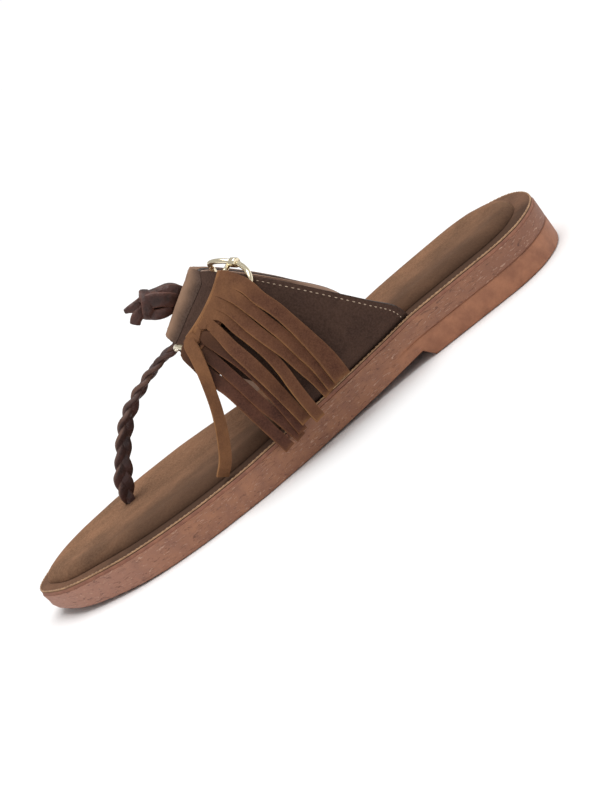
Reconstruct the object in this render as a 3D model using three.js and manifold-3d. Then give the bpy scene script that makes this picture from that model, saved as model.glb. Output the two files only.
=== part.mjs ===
// A woman's suede toe-thong sandal for the left foot: a moulded sole, a padded footbed,
// a wide instep band with a buckle and a fringe, and a braided thong knotted through the band.
// Millimetres, +Z up, the toe towards -Y, the outer side with the fringe towards +X.

import * as THREE from 'three';
import Module from 'manifold-3d';

const wasm = await Module();
wasm.setup();

// Driving sizes
const soleLength = 256;
const clearance = 0.3;

// Sole
const heelBreastY = 56;
const breastSlant = 3.6;
const soleEdgeRadius = 1.3;
const soleTopChamfer = 0.8;
const toeUndercut = 0.9;
const sideGrooveDepth = 0.6;
const sideGrooveHalfWidth = 0.7;
const sideGrooveShare = 0.42;
const sideGrooveStartY = 10;
const toeUndercutStartY = -80;

// Footbed
const coverThickness = 1.8;
const coverInset = 0.4;
const coverChamfer = 0.7;
const padInset = 8.6;
const padHeight = 3.8;
const padDish = 0.6;
const padColumns = 4;
const postHoleRadius = 4.6;
const postHoleDepth = 20;
const postHoleRise = 5;
const padEdge = [
  { inward: 0, share: 0 },
  { inward: -0.1, share: 0.45 },
  { inward: 0.8, share: 0.85 },
  { inward: 2.8, share: 1 },
];

// Instep band
const strapWall = 2.0;
const overlayWall = 1.1;
const strapRootInset = 5.8;
const rootReach = 2;
const overlayStepWidth = 0.03;
const slitLength = 13.6;
const slitWidth = 9.8;
const slitDepth = 16;
const instepAxisZ = 40;
const bandSteps = { outer: 24, inner: 28, width: 6 };
const cutterGrowth = 0.008;
const trimmerSize = { outset: 6, depth: 10 };

// Braid, buckle and fringe
const braidPitch = 21;
const strandSwing = 2.9;
const strandLift = 0.8;
const strandHalfWidth = 2.1;
const strandHalfThickness = 1.25;
const braidTurn = { angle: 80, from: 0.1, to: 0.85 };
const braidStepsPerPitch = 7;
const braidEnd = { spread: 0.45, length: 14 };
const wireRadius = 1.1;
const collarRadius = 2.1;
const collarLength = 4;
const frameSteps = { wire: 60, bore: 112 };
const barSteps = 12;
const barStart = 0.14;
const barGapAtCollar = 0.03;
const stripThickness = 1.4;
const stripSteps = 12;
const foldSteps = 8;
const foldBore = { front: -0.2, rear: 1.3, steps: 14 };

// Plan outline of the sole: outer and inner edge at each station along the foot
const outlineRows = [
  { y: -128, lateral: -3.7, medial: -3.7 },
  { y: -124.5, lateral: 6.9, medial: -14.6 },
  { y: -115.6, lateral: 19.5, medial: -25.4 },
  { y: -102, lateral: 29.7, medial: -34.8 },
  { y: -86, lateral: 38, medial: -40.8 },
  { y: -68, lateral: 42.6, medial: -44.2 },
  { y: -50, lateral: 44.5, medial: -44.6 },
  { y: -33, lateral: 44.3, medial: -41.5 },
  { y: -17, lateral: 42.2, medial: -36.1 },
  { y: 0, lateral: 39.6, medial: -32 },
  { y: 25, lateral: 36.5, medial: -29.1 },
  { y: 50, lateral: 34.6, medial: -28.9 },
  { y: 75, lateral: 34.1, medial: -31 },
  { y: 96, lateral: 33.6, medial: -32.6 },
  { y: 109, lateral: 30.3, medial: -30.2 },
  { y: 118, lateral: 23.7, medial: -24.2 },
  { y: 124, lateral: 15.4, medial: -17.4 },
  { y: 128, lateral: -1.1, medial: -1.1 },
];

// Height of the footbed's rim above the floor
const rimRows = [
  { y: -128, z: 13.6 },
  { y: -95, z: 13.9 },
  { y: -47, z: 13.9 },
  { y: -15, z: 14.6 },
  { y: 15, z: 15.9 },
  { y: 40, z: 17.7 },
  { y: 60, z: 19.4 },
  { y: 128, z: 20.4 },
];

// Height of the underside in front of the heel: toe spring, flat tread and arch
const undersideRows = [
  { y: -128, z: 4 },
  { y: -110, z: 1.6 },
  { y: -90, z: 0.6 },
  { y: -68, z: 0 },
  { y: -12, z: 0 },
  { y: 5, z: 0.6 },
  { y: 31, z: 2.2 },
  { y: heelBreastY - breastSlant, z: 4.4 },
];

// Sections of the instep band from the outer root over the instep to the inner root:
// the outer face at its front and rear edge, and how far it bows out between them
const bandRows = [
  { frontX: 35.5, frontY: -1, frontZ: 14.5, rearX: 28.5, rearY: 57, rearZ: 19.8, bow: 0 },
  { frontX: 40.5, frontY: -1, frontZ: 21.4, rearX: 35.2, rearY: 54.5, rearZ: 25, bow: 0.6 },
  { frontX: 43, frontY: -3.5, frontZ: 32, rearX: 40.3, rearY: 47.5, rearZ: 34.5, bow: 0.8 },
  { frontX: 39.4, frontY: -10.5, frontZ: 43.2, rearX: 41, rearY: 35, rearZ: 50, bow: 0.8 },
  { frontX: 27.5, frontY: -20.5, frontZ: 51.5, rearX: 34, rearY: 21.5, rearZ: 65, bow: 1 },
  { frontX: 10, frontY: -22.6, frontZ: 59.4, rearX: 18, rearY: 11.5, rearZ: 73, bow: 1 },
  { frontX: -6, frontY: -21.3, frontZ: 62.6, rearX: -5, rearY: 2.6, rearZ: 77, bow: 0.6 },
  { frontX: -22, frontY: -19.6, frontZ: 58.6, rearX: -22, rearY: 6, rearZ: 73, bow: 1 },
  { frontX: -35, frontY: -17.8, frontZ: 48, rearX: -36, rearY: 17.5, rearZ: 60, bow: 1.6 },
  { frontX: -40, frontY: -16.5, frontZ: 34, rearX: -42.5, rearY: 32, rearZ: 43, bow: 2 },
  { frontX: -37, frontY: -16, frontZ: 22, rearX: -35.5, rearY: 44, rearZ: 28, bow: 1 },
  { frontX: -30, frontY: -15.5, frontZ: 14.8, rearX: -22.8, rearY: 47.5, rearZ: 20, bow: 0 },
];
const bandEnd = bandRows.length - 1;

// Where the overlay ends on the outer side, and how its rear corner is cut off
const overlayEnd = { frontRow: 5.25, rearRow: 5.52, cornerStart: 0.8, cornerCut: 0.3 };

// The thong's slit and the two ends of the buckle's bar, in rows across the band
const slitPlace = { row: 6.28, w: 0.52 };
const barLine = { frontRow: 4.62, rearRow: 4.97 };

// The buckle's wire in rows across the band, from front to rear edge, and off the outer face:
// back along the inner side under the strap, over the rear edge, forward below the fringe's
// strips on the outer side and round the front edge
const wireRows = [
  { row: 5.35, w: 0.18, off: -3.8 },
  { row: 5.35, w: 0.5, off: -3.8 },
  { row: 5.35, w: 0.86, off: -3.8 },
  { row: 5.35, w: 1.02, off: -3.8 },
  { row: 5.35, w: 1.08, off: -1.4 },
  { row: 5.3, w: 1.09, off: 1.2 },
  { row: 5.15, w: 1.1, off: 1.8 },
  { row: 5, w: 1.12, off: 0.4 },
  { row: 4.65, w: 1.07, off: 0.9 },
  { row: 4.36, w: 0.99, off: 2 },
  { row: 4.15, w: 0.9, off: 1.6 },
  { row: 4.05, w: 0.7, off: 1.35 },
  { row: 4, w: 0.4, off: 1.4 },
  { row: 4.05, w: 0.18, off: 1.4 },
  { row: 4.4, w: 0.1, off: 1.4 },
  { row: 4.74, w: 0.01, off: 1.5 },
  { row: 4.92, w: -0.065, off: -0.8 },
  { row: 5.08, w: -0.01, off: -3.8 },
];
const collarRow = wireRows[7];

// Strips of the fringe from heel to toe: ply, place on the fold, width, and the route over the
// shoulder and down the side of the band to the tip
const stripRows = [
  {
    ply: 'upper', head: 0.89, width: 5.8,
    route: [[36, 14, 68], [44, 17, 56], [47.8, 19, 39.5], [47.4, 19.8, 20]],
  },
  {
    ply: 'upper', head: 0.74, width: 4.9,
    route: [[36, 7, 66], [44, 11, 53], [47.8, 14, 38], [46.6, 15.2, 19]],
  },
  {
    ply: 'upper', head: 0.62, width: 4.9,
    route: [[35, 3, 64], [43.5, 6, 52], [47.8, 9.6, 37], [45.8, 12.6, 17.8]],
  },
  {
    ply: 'upper', head: 0.5, width: 4.8,
    route: [[33, -2, 64], [43, 1, 51], [48, 4, 36], [47.3, 2.6, 14.6]],
  },
  {
    ply: 'upper', head: 0.39, width: 5.6,
    route: [[30, -8, 64], [40.5, -7, 53], [47.6, -5, 38.5], [46.6, -2, 15]],
  },
  {
    ply: 'lower', head: 0.4, width: 4.4,
    route: [[30, -7.6, 62.5], [40.5, -6.6, 51.5], [46.4, -4.6, 37.5], [45.6, -3.8, 12.5]],
  },
  {
    ply: 'lower', head: 0.35, width: 4.1,
    route: [[28, -15, 60], [40, -13, 49], [46, -11, 37], [45.4, -6, 10.5]],
  },
  {
    ply: 'lower', head: 0.27, width: 4.6,
    route: [[24, -19.6, 59.5], [37.5, -18.8, 49.5], [46, -15.4, 36], [46.2, -11.6, 10.3]],
  },
  {
    ply: 'upper', head: 0.27, width: 4.6,
    route: [[25, -16.6, 62.5], [36, -19.2, 53], [40, -23, 41.5], [40, -29.5, 27], [39.5, -38.6, 16.2]],
  },
];
const plyOffsets = { upper: 5.2, lower: 3.95 };
const stripHead = { along: 4.6, sink: 0.5, narrowing: 0.85 };

// The thong's route from the footbed to the top of the band
const thongRoute = [
  [-12.6, -78, 13.4],
  [-12.6, -78, 18],
  [-12, -75.2, 24],
  [-11.4, -71, 30],
  [-11, -64, 38.8],
  [-10.8, -56.8, 45.6],
  [-10.6, -50, 49.8],
  [-10.4, -42, 53.2],
  [-10.1, -33, 56],
  [-9.8, -23, 57.4],
  [-9.8, -14.5, 60],
  [-10, -9.4, 64.6],
  [-10, -8.6, 67.6],
  [-10, -8.4, 70],
];

// Lumps of the knot and its cut tail: centre, half sizes and turn about X in degrees
const knotLumps = [
  { x: -10, y: -12.6, z: 75.8, halfX: 6.6, halfY: 6, halfZ: 4.8, turn: 30 },
  { x: -13, y: -18.5, z: 75.6, halfX: 4.6, halfY: 7.2, halfZ: 4.8, turn: -20 },
  { x: -7, y: -19, z: 76.2, halfX: 4.4, halfY: 7, halfZ: 5, turn: 25 },
  { x: -10, y: -24, z: 77, halfX: 5.6, halfY: 4.2, halfZ: 5.2, turn: 0 },
];
const knotTail = { x: -10, fromY: -23, fromZ: 77.8, radius: 2.2, tipRadius: 1.1 };
const tailTips = [
  { x: -13.2, y: -31.5, z: 78.2 },
  { x: -6.8, y: -31.5, z: 81.6 },
];

// Shape-preserving cubic through the rows of a table
function tableCurve(rows, place, column) {
  const xs = rows.map(place);
  const ys = rows.map((row) => row[column]);
  const steps = xs.slice(1).map((x, i) => (ys[i + 1] - ys[i]) / (x - xs[i]));
  const slopes = xs.map((x, i) => {
    if (i === 0) return steps[0];
    if (i === xs.length - 1) return steps[i - 1];
    const [before, after] = [steps[i - 1], steps[i]];
    return before * after <= 0 ? 0 : (2 * before * after) / (before + after);
  });
  return (x) => {
    const found = xs.findIndex((edge, i) => i > 0 && x <= edge);
    const i = found < 0 ? xs.length - 1 : found;
    const span = xs[i] - xs[i - 1];
    const t = THREE.MathUtils.clamp((x - xs[i - 1]) / span, 0, 1);
    const rise = (1 - t) * (1 - t) * (ys[i - 1] * (1 + 2 * t) + slopes[i - 1] * span * t);
    return rise + t * t * (ys[i] * (3 - 2 * t) - slopes[i] * span * (1 - t));
  };
}

const sideways = new THREE.Vector3(1, 0, 0);
const upward = new THREE.Vector3(0, 0, 1);
const cylinderAxis = new THREE.Vector3(0, 1, 0);

const halfLength = soleLength / 2;
const stationAngle = (y) => Math.acos(THREE.MathUtils.clamp(-y / halfLength, -1, 1));
const lateralEdge = tableCurve(outlineRows, (row) => stationAngle(row.y), 'lateral');
const medialEdge = tableCurve(outlineRows, (row) => stationAngle(row.y), 'medial');
const rimHeight = tableCurve(rimRows, (row) => row.y, 'z');
const archHeight = tableCurve(undersideRows, (row) => row.y, 'z');
const soleTop = (y) => rimHeight(y) - coverThickness - clearance;
const undersideHeight = (y) => (y >= heelBreastY - 0.01 ? 0 : archHeight(y));

// Angles of the ring points: even steps, with a pair at the heel's breast
function ringAngles(steps) {
  const breast = [heelBreastY - breastSlant, heelBreastY].map(stationAngle);
  const even = Array.from({ length: steps + 1 }, (_, i) => (Math.PI * i) / steps);
  const kept = even.filter((angle) => breast.every((edge) => Math.abs(angle - edge) > 0.03));
  const half = [...kept, ...breast].sort((a, b) => a - b);
  const back = half.slice(1, -1).reverse().map((angle) => 2 * Math.PI - angle);
  return [...half, ...back];
}
const angles = ringAngles(32);

// A point of the plan outline; the outer side is the first half turn, from toe to heel
function outlinePoint(angle) {
  const side = angle <= Math.PI ? lateralEdge(angle) : medialEdge(2 * Math.PI - angle);
  return new THREE.Vector2(side, -halfLength * Math.cos(angle));
}

// A closed ring round the shoe, moved in from the outline and set at a height
function outlineRing(inset, height) {
  return angles.map((angle) => {
    const point = outlinePoint(angle);
    const ahead = outlinePoint((angle + 0.01) % (2 * Math.PI));
    const behind = outlinePoint((angle - 0.01 + 2 * Math.PI) % (2 * Math.PI));
    const along = ahead.sub(behind).normalize();
    const depth = typeof inset === 'function' ? inset(point.y) : inset;
    const x = point.x - along.y * depth;
    const y = point.y + along.x * depth;
    return new THREE.Vector3(x, y, height(y, point.y));
  });
}

// A geometry from points and triangles, turned so that its faces point out
function solidGeometry(points, triangles) {
  let volume = 0;
  for (const [a, b, c] of triangles) {
    volume += points[a].dot(points[b].clone().cross(points[c]));
  }
  const faces = volume < 0 ? triangles.map(([a, b, c]) => [a, c, b]) : triangles;
  const geometry = new THREE.BufferGeometry();
  const flat = points.flatMap((point) => point.toArray());
  geometry.setAttribute('position', new THREE.Float32BufferAttribute(flat, 3));
  geometry.setIndex(faces.flat());
  return geometry;
}

// Triangles between neighbouring closed rings of equal length, stacked from the first to the last
function ringWalls(ringCount, size, closed = false) {
  const triangles = [];
  const bands = closed ? ringCount : ringCount - 1;
  for (let band = 0; band < bands; band += 1) {
    const low = band * size;
    const high = ((band + 1) % ringCount) * size;
    for (let i = 0; i < size; i += 1) {
      const next = (i + 1) % size;
      triangles.push([low + i, low + next, high + next], [low + i, high + next, high + i]);
    }
  }
  return triangles;
}

// A cover across a shoe-shaped ring in rows from the outer to the inner edge
function crossCap(points, first, size, columns, height, flip) {
  const half = size / 2;
  const row = (k) => {
    const outer = first + k;
    const inner = first + ((size - k) % size);
    if (k === 0 || k === half) return Array(columns + 1).fill(outer);
    const middle = Array.from({ length: columns - 1 }, (_, j) => {
      const share = (j + 1) / columns;
      const point = points[outer].clone().lerp(points[inner], share);
      point.z += height(share, point.y);
      points.push(point);
      return points.length - 1;
    });
    return [outer, ...middle, inner];
  };
  const rows = Array.from({ length: half + 1 }, (_, k) => row(k));
  const triangles = [];
  for (let k = 0; k < half; k += 1) {
    for (let j = 0; j < columns; j += 1) {
      const [a, b, c, d] = [rows[k][j], rows[k + 1][j], rows[k + 1][j + 1], rows[k][j + 1]];
      triangles.push([a, b, c], [a, c, d]);
    }
  }
  const real = triangles.filter(([a, b, c]) => a !== b && b !== c && c !== a);
  return flip ? real.map(([a, b, c]) => [a, c, b]) : real;
}

// A shoe-shaped solid from rings stacked upwards, with a cover across the bottom and the top
function shoeSolid(rings, topColumns = 1, topHeight = () => 0) {
  const points = rings.flat();
  const size = angles.length;
  const triangles = ringWalls(rings.length, size);
  triangles.push(...crossCap(points, 0, size, 1, () => 0, true));
  triangles.push(...crossCap(points, (rings.length - 1) * size, size, topColumns, topHeight, false));
  return solidGeometry(points, triangles);
}

// A solid from rings along a path, with a flat or pointed end at each side, or closed on itself
function ringSolid(rings, closed = false) {
  const size = rings[0].length;
  const points = rings.flat();
  const triangles = ringWalls(rings.length, size, closed);
  if (!closed) {
    const ends = [0, (rings.length - 1) * size];
    ends.forEach((first, end) => {
      const centre = new THREE.Vector3();
      for (let i = 0; i < size; i += 1) centre.addScaledVector(points[first + i], 1 / size);
      points.push(centre);
      const hub = points.length - 1;
      for (let i = 0; i < size; i += 1) {
        const pair = [first + i, first + ((i + 1) % size)];
        triangles.push(end === 0 ? [hub, pair[1], pair[0]] : [hub, pair[0], pair[1]]);
      }
    });
  }
  return solidGeometry(points, triangles);
}

// A sheet with thickness from two grids of points that share their rows and columns
function sheetSolid(outer, inner) {
  const rows = outer.length;
  const columns = outer[0].length;
  const points = [...outer.flat(), ...inner.flat()];
  const [end, side] = [rows - 1, columns - 1];
  const at = (face, r, c) => face * rows * columns + r * columns + c;
  const triangles = [];
  const quad = (a, b, c, d) => triangles.push([a, b, c], [a, c, d]);
  for (let r = 0; r < end; r += 1) {
    for (let c = 0; c < side; c += 1) {
      quad(at(0, r, c), at(0, r, c + 1), at(0, r + 1, c + 1), at(0, r + 1, c));
      quad(at(1, r, c), at(1, r + 1, c), at(1, r + 1, c + 1), at(1, r, c + 1));
    }
    quad(at(0, r, 0), at(0, r + 1, 0), at(1, r + 1, 0), at(1, r, 0));
    quad(at(0, r + 1, side), at(0, r, side), at(1, r, side), at(1, r + 1, side));
  }
  for (let c = 0; c < side; c += 1) {
    quad(at(0, 0, c + 1), at(0, 0, c), at(1, 0, c), at(1, 0, c + 1));
    quad(at(0, end, c), at(0, end, c + 1), at(1, end, c + 1), at(1, end, c));
  }
  return solidGeometry(points, triangles);
}

// Joins and cuts
function toManifold(geometry) {
  const vertProperties = new Float32Array(geometry.getAttribute('position').array);
  const triVerts = new Uint32Array(geometry.getIndex().array);
  return new wasm.Manifold(new wasm.Mesh({ numProp: 3, vertProperties, triVerts }));
}

function fromManifold(solid) {
  const mesh = solid.getMesh();
  const geometry = new THREE.BufferGeometry();
  geometry.setAttribute('position', new THREE.Float32BufferAttribute(mesh.vertProperties, 3));
  geometry.setIndex(Array.from(mesh.triVerts));
  return geometry;
}

function joined(geometries) {
  return fromManifold(geometries.map(toManifold).reduce((a, b) => a.add(b)));
}

function cutBy(geometry, tools) {
  const cut = (solid, tool) => solid.subtract(tool);
  return fromManifold(tools.map(toManifold).reduce(cut, toManifold(geometry)));
}

// A round or oval bar along a list of points. Its wide axis is held near one direction, or near
// a direction of its own at each point.
function sweptBar(path, halfWide, halfThick, sides, wideAxis, closed = false) {
  const rings = path.map((point, i) => {
    const last = path.length - 1;
    const before = closed ? path[(i + last) % path.length] : path[Math.max(i - 1, 0)];
    const after = closed ? path[(i + 1) % path.length] : path[Math.min(i + 1, last)];
    const along = after.clone().sub(before).normalize();
    const thick = along.clone().cross(Array.isArray(wideAxis) ? wideAxis[i] : wideAxis).normalize();
    const wide = thick.clone().cross(along).normalize();
    return Array.from({ length: sides }, (_, k) => {
      const turn = (2 * Math.PI * k) / sides;
      const out = point.clone().addScaledVector(wide, halfWide * Math.cos(turn));
      return out.addScaledVector(thick, halfThick * Math.sin(turn));
    });
  });
  return ringSolid(rings, closed);
}

// The instep band's outer face, u counted in rows across the foot and w from front to rear
const bandCurves = new Map();

function bandCurve(w) {
  const key = w.toFixed(4);
  if (!bandCurves.has(key)) {
    const points = bandRows.map((row, i) => {
      const front = new THREE.Vector3(row.frontX, row.frontY, row.frontZ);
      const rear = new THREE.Vector3(row.rearX, row.rearY, row.rearZ);
      const point = front.lerp(rear, w);
      const outward = new THREE.Vector3(point.x, 0, point.z - instepAxisZ).normalize();
      if (w > 0 && w < 1) point.addScaledVector(outward, row.bow * 4 * w * (1 - w));
      const foot = stationAngle(point.y);
      if (i === 0) point.x = lateralEdge(foot) - strapRootInset;
      if (i === bandEnd) point.x = medialEdge(foot) + strapRootInset;
      if (i === 0 || i === bandEnd) point.z = soleTop(point.y) - rootReach;
      return point;
    });
    bandCurves.set(key, new THREE.CatmullRomCurve3(points, false, 'centripetal'));
  }
  return bandCurves.get(key);
}

const bandSurface = (row, w) => bandCurve(w).getPoint(THREE.MathUtils.clamp(row / bandEnd, 0, 1));

// The directions at a place on the band: outwards, down towards the outer side, and to the rear
function bandFrame(row, w) {
  const across = bandSurface(row - 0.02, w).sub(bandSurface(row + 0.02, w)).normalize();
  const rearward = bandSurface(row, w + 0.01).sub(bandSurface(row, w - 0.01)).normalize();
  const outward = across.clone().cross(rearward).normalize();
  return { across, rearward, outward };
}

function bandPoint(row, w, offset) {
  return bandSurface(row, w).addScaledVector(bandFrame(row, w).outward, offset);
}

// Rows of the band's grid, gathered at the overlay's end so that its step is crisp
function bandGridRow(index, w) {
  const corner = Math.max(0, (w - overlayEnd.cornerStart) / (1 - overlayEnd.cornerStart));
  const straight = THREE.MathUtils.lerp(overlayEnd.frontRow, overlayEnd.rearRow, w);
  const step = straight + overlayEnd.cornerCut * corner;
  if (index <= bandSteps.outer) return (step * index) / bandSteps.outer;
  const share = (index - bandSteps.outer - 1) / bandSteps.inner;
  return THREE.MathUtils.lerp(step + overlayStepWidth, bandEnd, share);
}

function bandSolid(outside, inside, edgeGrowth = 0) {
  const { outer, inner, width } = bandSteps;
  const grid = (offset) =>
    Array.from({ length: outer + inner + 2 }, (_, i) =>
      Array.from({ length: width + 1 }, (_unused, j) => {
        const w = THREE.MathUtils.lerp(-edgeGrowth, 1 + edgeGrowth, j / width);
        return bandPoint(bandGridRow(i, w), w, offset(i > outer));
      }));
  return sheetSolid(grid(outside), grid(() => -inside));
}

// Moulded sole: bottom edge, side groove over the heel, top edge
function makeSole() {
  const toeShare = (y) => THREE.MathUtils.smoothstep(-y, -toeUndercutStartY, halfLength);
  const heelShare = (y) => THREE.MathUtils.smoothstep(y, sideGrooveStartY, heelBreastY);
  const draft = (y) => toeUndercut * toeShare(y);
  const grooveZ = (y) => {
    const low = archHeight(Math.min(y, heelBreastY));
    return THREE.MathUtils.lerp(low, soleTop(y), sideGrooveShare);
  };
  const underside = (y, station) => undersideHeight(station);
  const floorRing = outlineRing((y) => draft(y) + soleEdgeRadius, underside);
  const edgeRing = outlineRing(draft, (y, station) => undersideHeight(station) + soleEdgeRadius);
  const grooves = [-1, 0, 1].map((side) =>
    outlineRing(
      (y) => draft(y) / 2 + (side === 0 ? sideGrooveDepth * heelShare(y) : 0),
      (y) => grooveZ(y) + side * sideGrooveHalfWidth,
    ));
  const topWall = outlineRing(0, (y) => soleTop(y) - soleTopChamfer);
  const topRing = outlineRing(soleTopChamfer, (y) => soleTop(y));
  return shoeSolid([floorRing, edgeRing, ...grooves, topWall, topRing]);
}

// Suede-covered board, slotted for the band's two roots and bored for the thong
function makeCover(tools) {
  const base = (y) => soleTop(y) + clearance;
  const rings = [
    outlineRing(coverInset, base),
    outlineRing(coverInset, (y) => base(y) + coverThickness - coverChamfer),
    outlineRing(coverInset + coverChamfer, (y) => base(y) + coverThickness),
  ];
  return cutBy(shoeSolid(rings), tools);
}

// Padded panel with a soft edge and a shallow dish along its middle
function makePad(tools) {
  const base = (y) => rimHeight(y) + clearance;
  const rings = padEdge.map(({ inward, share }) =>
    outlineRing(padInset + inward, (y) => base(y) + padHeight * share));
  const dish = (share) => -padDish * 4 * share * (1 - share);
  return cutBy(shoeSolid(rings, padColumns, dish), tools);
}

// A cutter of the band's own form, a little larger than the wall
function bandCutter() {
  const grown = (overlaid) => clearance + (overlaid ? overlayWall : 0);
  return bandSolid(grown, strapWall + clearance, cutterGrowth);
}

function postHoleCutter() {
  const hole = new THREE.CylinderGeometry(postHoleRadius, postHoleRadius, postHoleDepth, 20);
  hole.rotateX(Math.PI / 2);
  const [x, y, z] = thongRoute[0];
  hole.translate(x, y, z + postHoleRise);
  return weldedSolid(hole);
}

// A stock three.js shape with its points merged into one closed skin
function weldedSolid(geometry) {
  const position = geometry.getAttribute('position');
  const index = geometry.getIndex();
  const points = [];
  const places = new Map();
  const merged = Array.from({ length: position.count }, (_, i) => {
    const point = new THREE.Vector3().fromBufferAttribute(position, i);
    const key = point.toArray().map((value) => value.toFixed(4)).join();
    if (!places.has(key)) places.set(key, points.push(point) - 1);
    return places.get(key);
  });
  const triangles = [];
  for (let i = 0; i < index.count; i += 3) {
    triangles.push([0, 1, 2].map((k) => merged[index.getX(i + k)]));
  }
  const real = triangles.filter(([a, b, c]) => a !== b && b !== c && c !== a);
  return solidGeometry(points, real);
}

// A slot with round ends through the band for the thong
function slitCutter() {
  const { across, rearward, outward } = bandFrame(slitPlace.row, slitPlace.w);
  const straight = (slitLength - slitWidth) / 2;
  const outline = new THREE.Shape();
  outline.absarc(straight, 0, slitWidth / 2, -Math.PI / 2, Math.PI / 2, false);
  outline.absarc(-straight, 0, slitWidth / 2, Math.PI / 2, (3 * Math.PI) / 2, false);
  const depth = { depth: slitDepth, bevelEnabled: false, curveSegments: 6 };
  const slot = new THREE.ExtrudeGeometry(outline, depth);
  slot.translate(0, 0, -slitDepth / 2);
  const centre = bandSurface(slitPlace.row, slitPlace.w);
  slot.applyMatrix4(new THREE.Matrix4().makeBasis(across, rearward, outward).setPosition(centre));
  slot.setIndex(Array.from({ length: slot.getAttribute('position').count }, (_, i) => i));
  return weldedSolid(slot);
}

// Everything below the board that the band's roots stand on
function rootTrimmer() {
  const { outset, depth } = trimmerSize;
  const rings = [outlineRing(-outset, () => -depth), outlineRing(-outset, (y) => soleTop(y) + clearance)];
  return shoeSolid(rings);
}

function makeUpper() {
  const outside = (overlaid) => (overlaid ? overlayWall : 0);
  return cutBy(bandSolid(outside, strapWall), [slitCutter(), rootTrimmer()]);
}

// Folded leather round the buckle's bar, in a section that follows the bar over the band
const barRow = (w) => THREE.MathUtils.lerp(barLine.frontRow, barLine.rearRow, w);
const barLift = clearance + stripThickness + clearance + wireRadius;
const foldSection = [
  { along: -3.1, out: barLift },
  { along: -2.3, out: 1.0 },
  { along: 0, out: clearance },
  { along: 3.5, out: 1 },
  { along: 6.5, out: 2.9 },
  { along: 6.6, out: 5.1 },
  { along: 3.5, out: 5.5 },
  { along: 0, out: barLift + wireRadius + clearance + stripThickness },
  { along: -2.3, out: barLift + wireRadius + 1 },
];
const foldSpan = { front: 0.2, rear: 0.95 };

function barPath(front, rear, steps) {
  return Array.from({ length: steps + 1 }, (_, i) => {
    const w = THREE.MathUtils.lerp(front, rear, i / steps);
    const drop = THREE.MathUtils.smoothstep(w, foldSpan.rear, collarRow.w);
    return bandPoint(barRow(w), w, THREE.MathUtils.lerp(barLift, collarRow.off, drop));
  });
}

function makeFold() {
  const rings = Array.from({ length: foldSteps + 1 }, (_, i) => {
    const w = THREE.MathUtils.lerp(foldSpan.front, foldSpan.rear, i / foldSteps);
    const { across, outward } = bandFrame(barRow(w), w);
    const origin = bandSurface(barRow(w), w);
    return foldSection.map(({ along, out }) =>
      origin.clone().addScaledVector(across, along).addScaledVector(outward, out));
  });
  const bore = wireRadius + clearance;
  const borePath = barPath(foldBore.front, foldBore.rear, foldBore.steps);
  return cutBy(ringSolid(rings), [sweptBar(borePath, bore, bore, 10, upward)]);
}

// One strip: out of the fold, over the shoulder and the side of the band, then hanging to its tip
function makeStrip(strip) {
  const offset = plyOffsets[strip.ply];
  const headRow = barRow(strip.head);
  const { across, outward } = bandFrame(headRow, strip.head);
  const head = bandSurface(headRow, strip.head)
    .addScaledVector(across, stripHead.along)
    .addScaledVector(outward, offset - stripHead.sink);
  const points = [head, ...strip.route.map((place) => new THREE.Vector3(...place))];
  const route = new THREE.CatmullRomCurve3(points, false, 'centripetal');
  const grid = (side) =>
    Array.from({ length: stripSteps + 1 }, (_, i) => {
      const t = i / stripSteps;
      const centre = route.getPoint(t);
      const along = route.getTangent(t);
      const facing = outward.clone().lerp(sideways, t);
      const wide = facing.clone().cross(along).normalize();
      const out = along.clone().cross(wide).normalize();
      const widening = THREE.MathUtils.lerp(stripHead.narrowing, 1, Math.min(1, t * 3));
      const half = (strip.width / 2) * widening;
      return [-1, 1].map((edge) =>
        centre.clone().addScaledVector(wide, edge * half).addScaledVector(out, (side * stripThickness) / 2));
    });
  return sheetSolid(grid(1), grid(-1));
}

function makeFringe() {
  return joined([makeFold(), ...stripRows.map(makeStrip)]);
}

// Bent wire frame round the strap: under it on the inner side, over it below the fringe
function loopBar(radius, steps) {
  const corners = wireRows.map(({ row, w, off }) => bandPoint(row, w, off));
  const loop = new THREE.CatmullRomCurve3(corners, true, 'centripetal');
  const wideAxis = new THREE.Vector3(0.9, 0.1, 0.5).normalize();
  return sweptBar(loop.getSpacedPoints(steps).slice(0, -1), radius, radius, 8, wideAxis, true);
}

// Centre bar under the fold, with the collar by which it hangs on the frame's rear side
function makeBuckleBar() {
  const { row, w, off } = collarRow;
  const centre = bandPoint(row, w, off);
  const barLength = barPath(barStart, w - barGapAtCollar, barSteps);
  const bar = sweptBar(barLength, wireRadius, wireRadius, 8, upward);
  const collar = new THREE.CylinderGeometry(collarRadius, collarRadius, collarLength, 12);
  const along = bandPoint(row - 0.2, w, off).sub(bandPoint(row + 0.1, w, off)).normalize();
  collar.applyQuaternion(new THREE.Quaternion().setFromUnitVectors(cylinderAxis, along));
  collar.translate(centre.x, centre.y, centre.z);
  return cutBy(joined([bar, weldedSolid(collar)]), [loopBar(wireRadius + clearance, frameSteps.bore)]);
}

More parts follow.
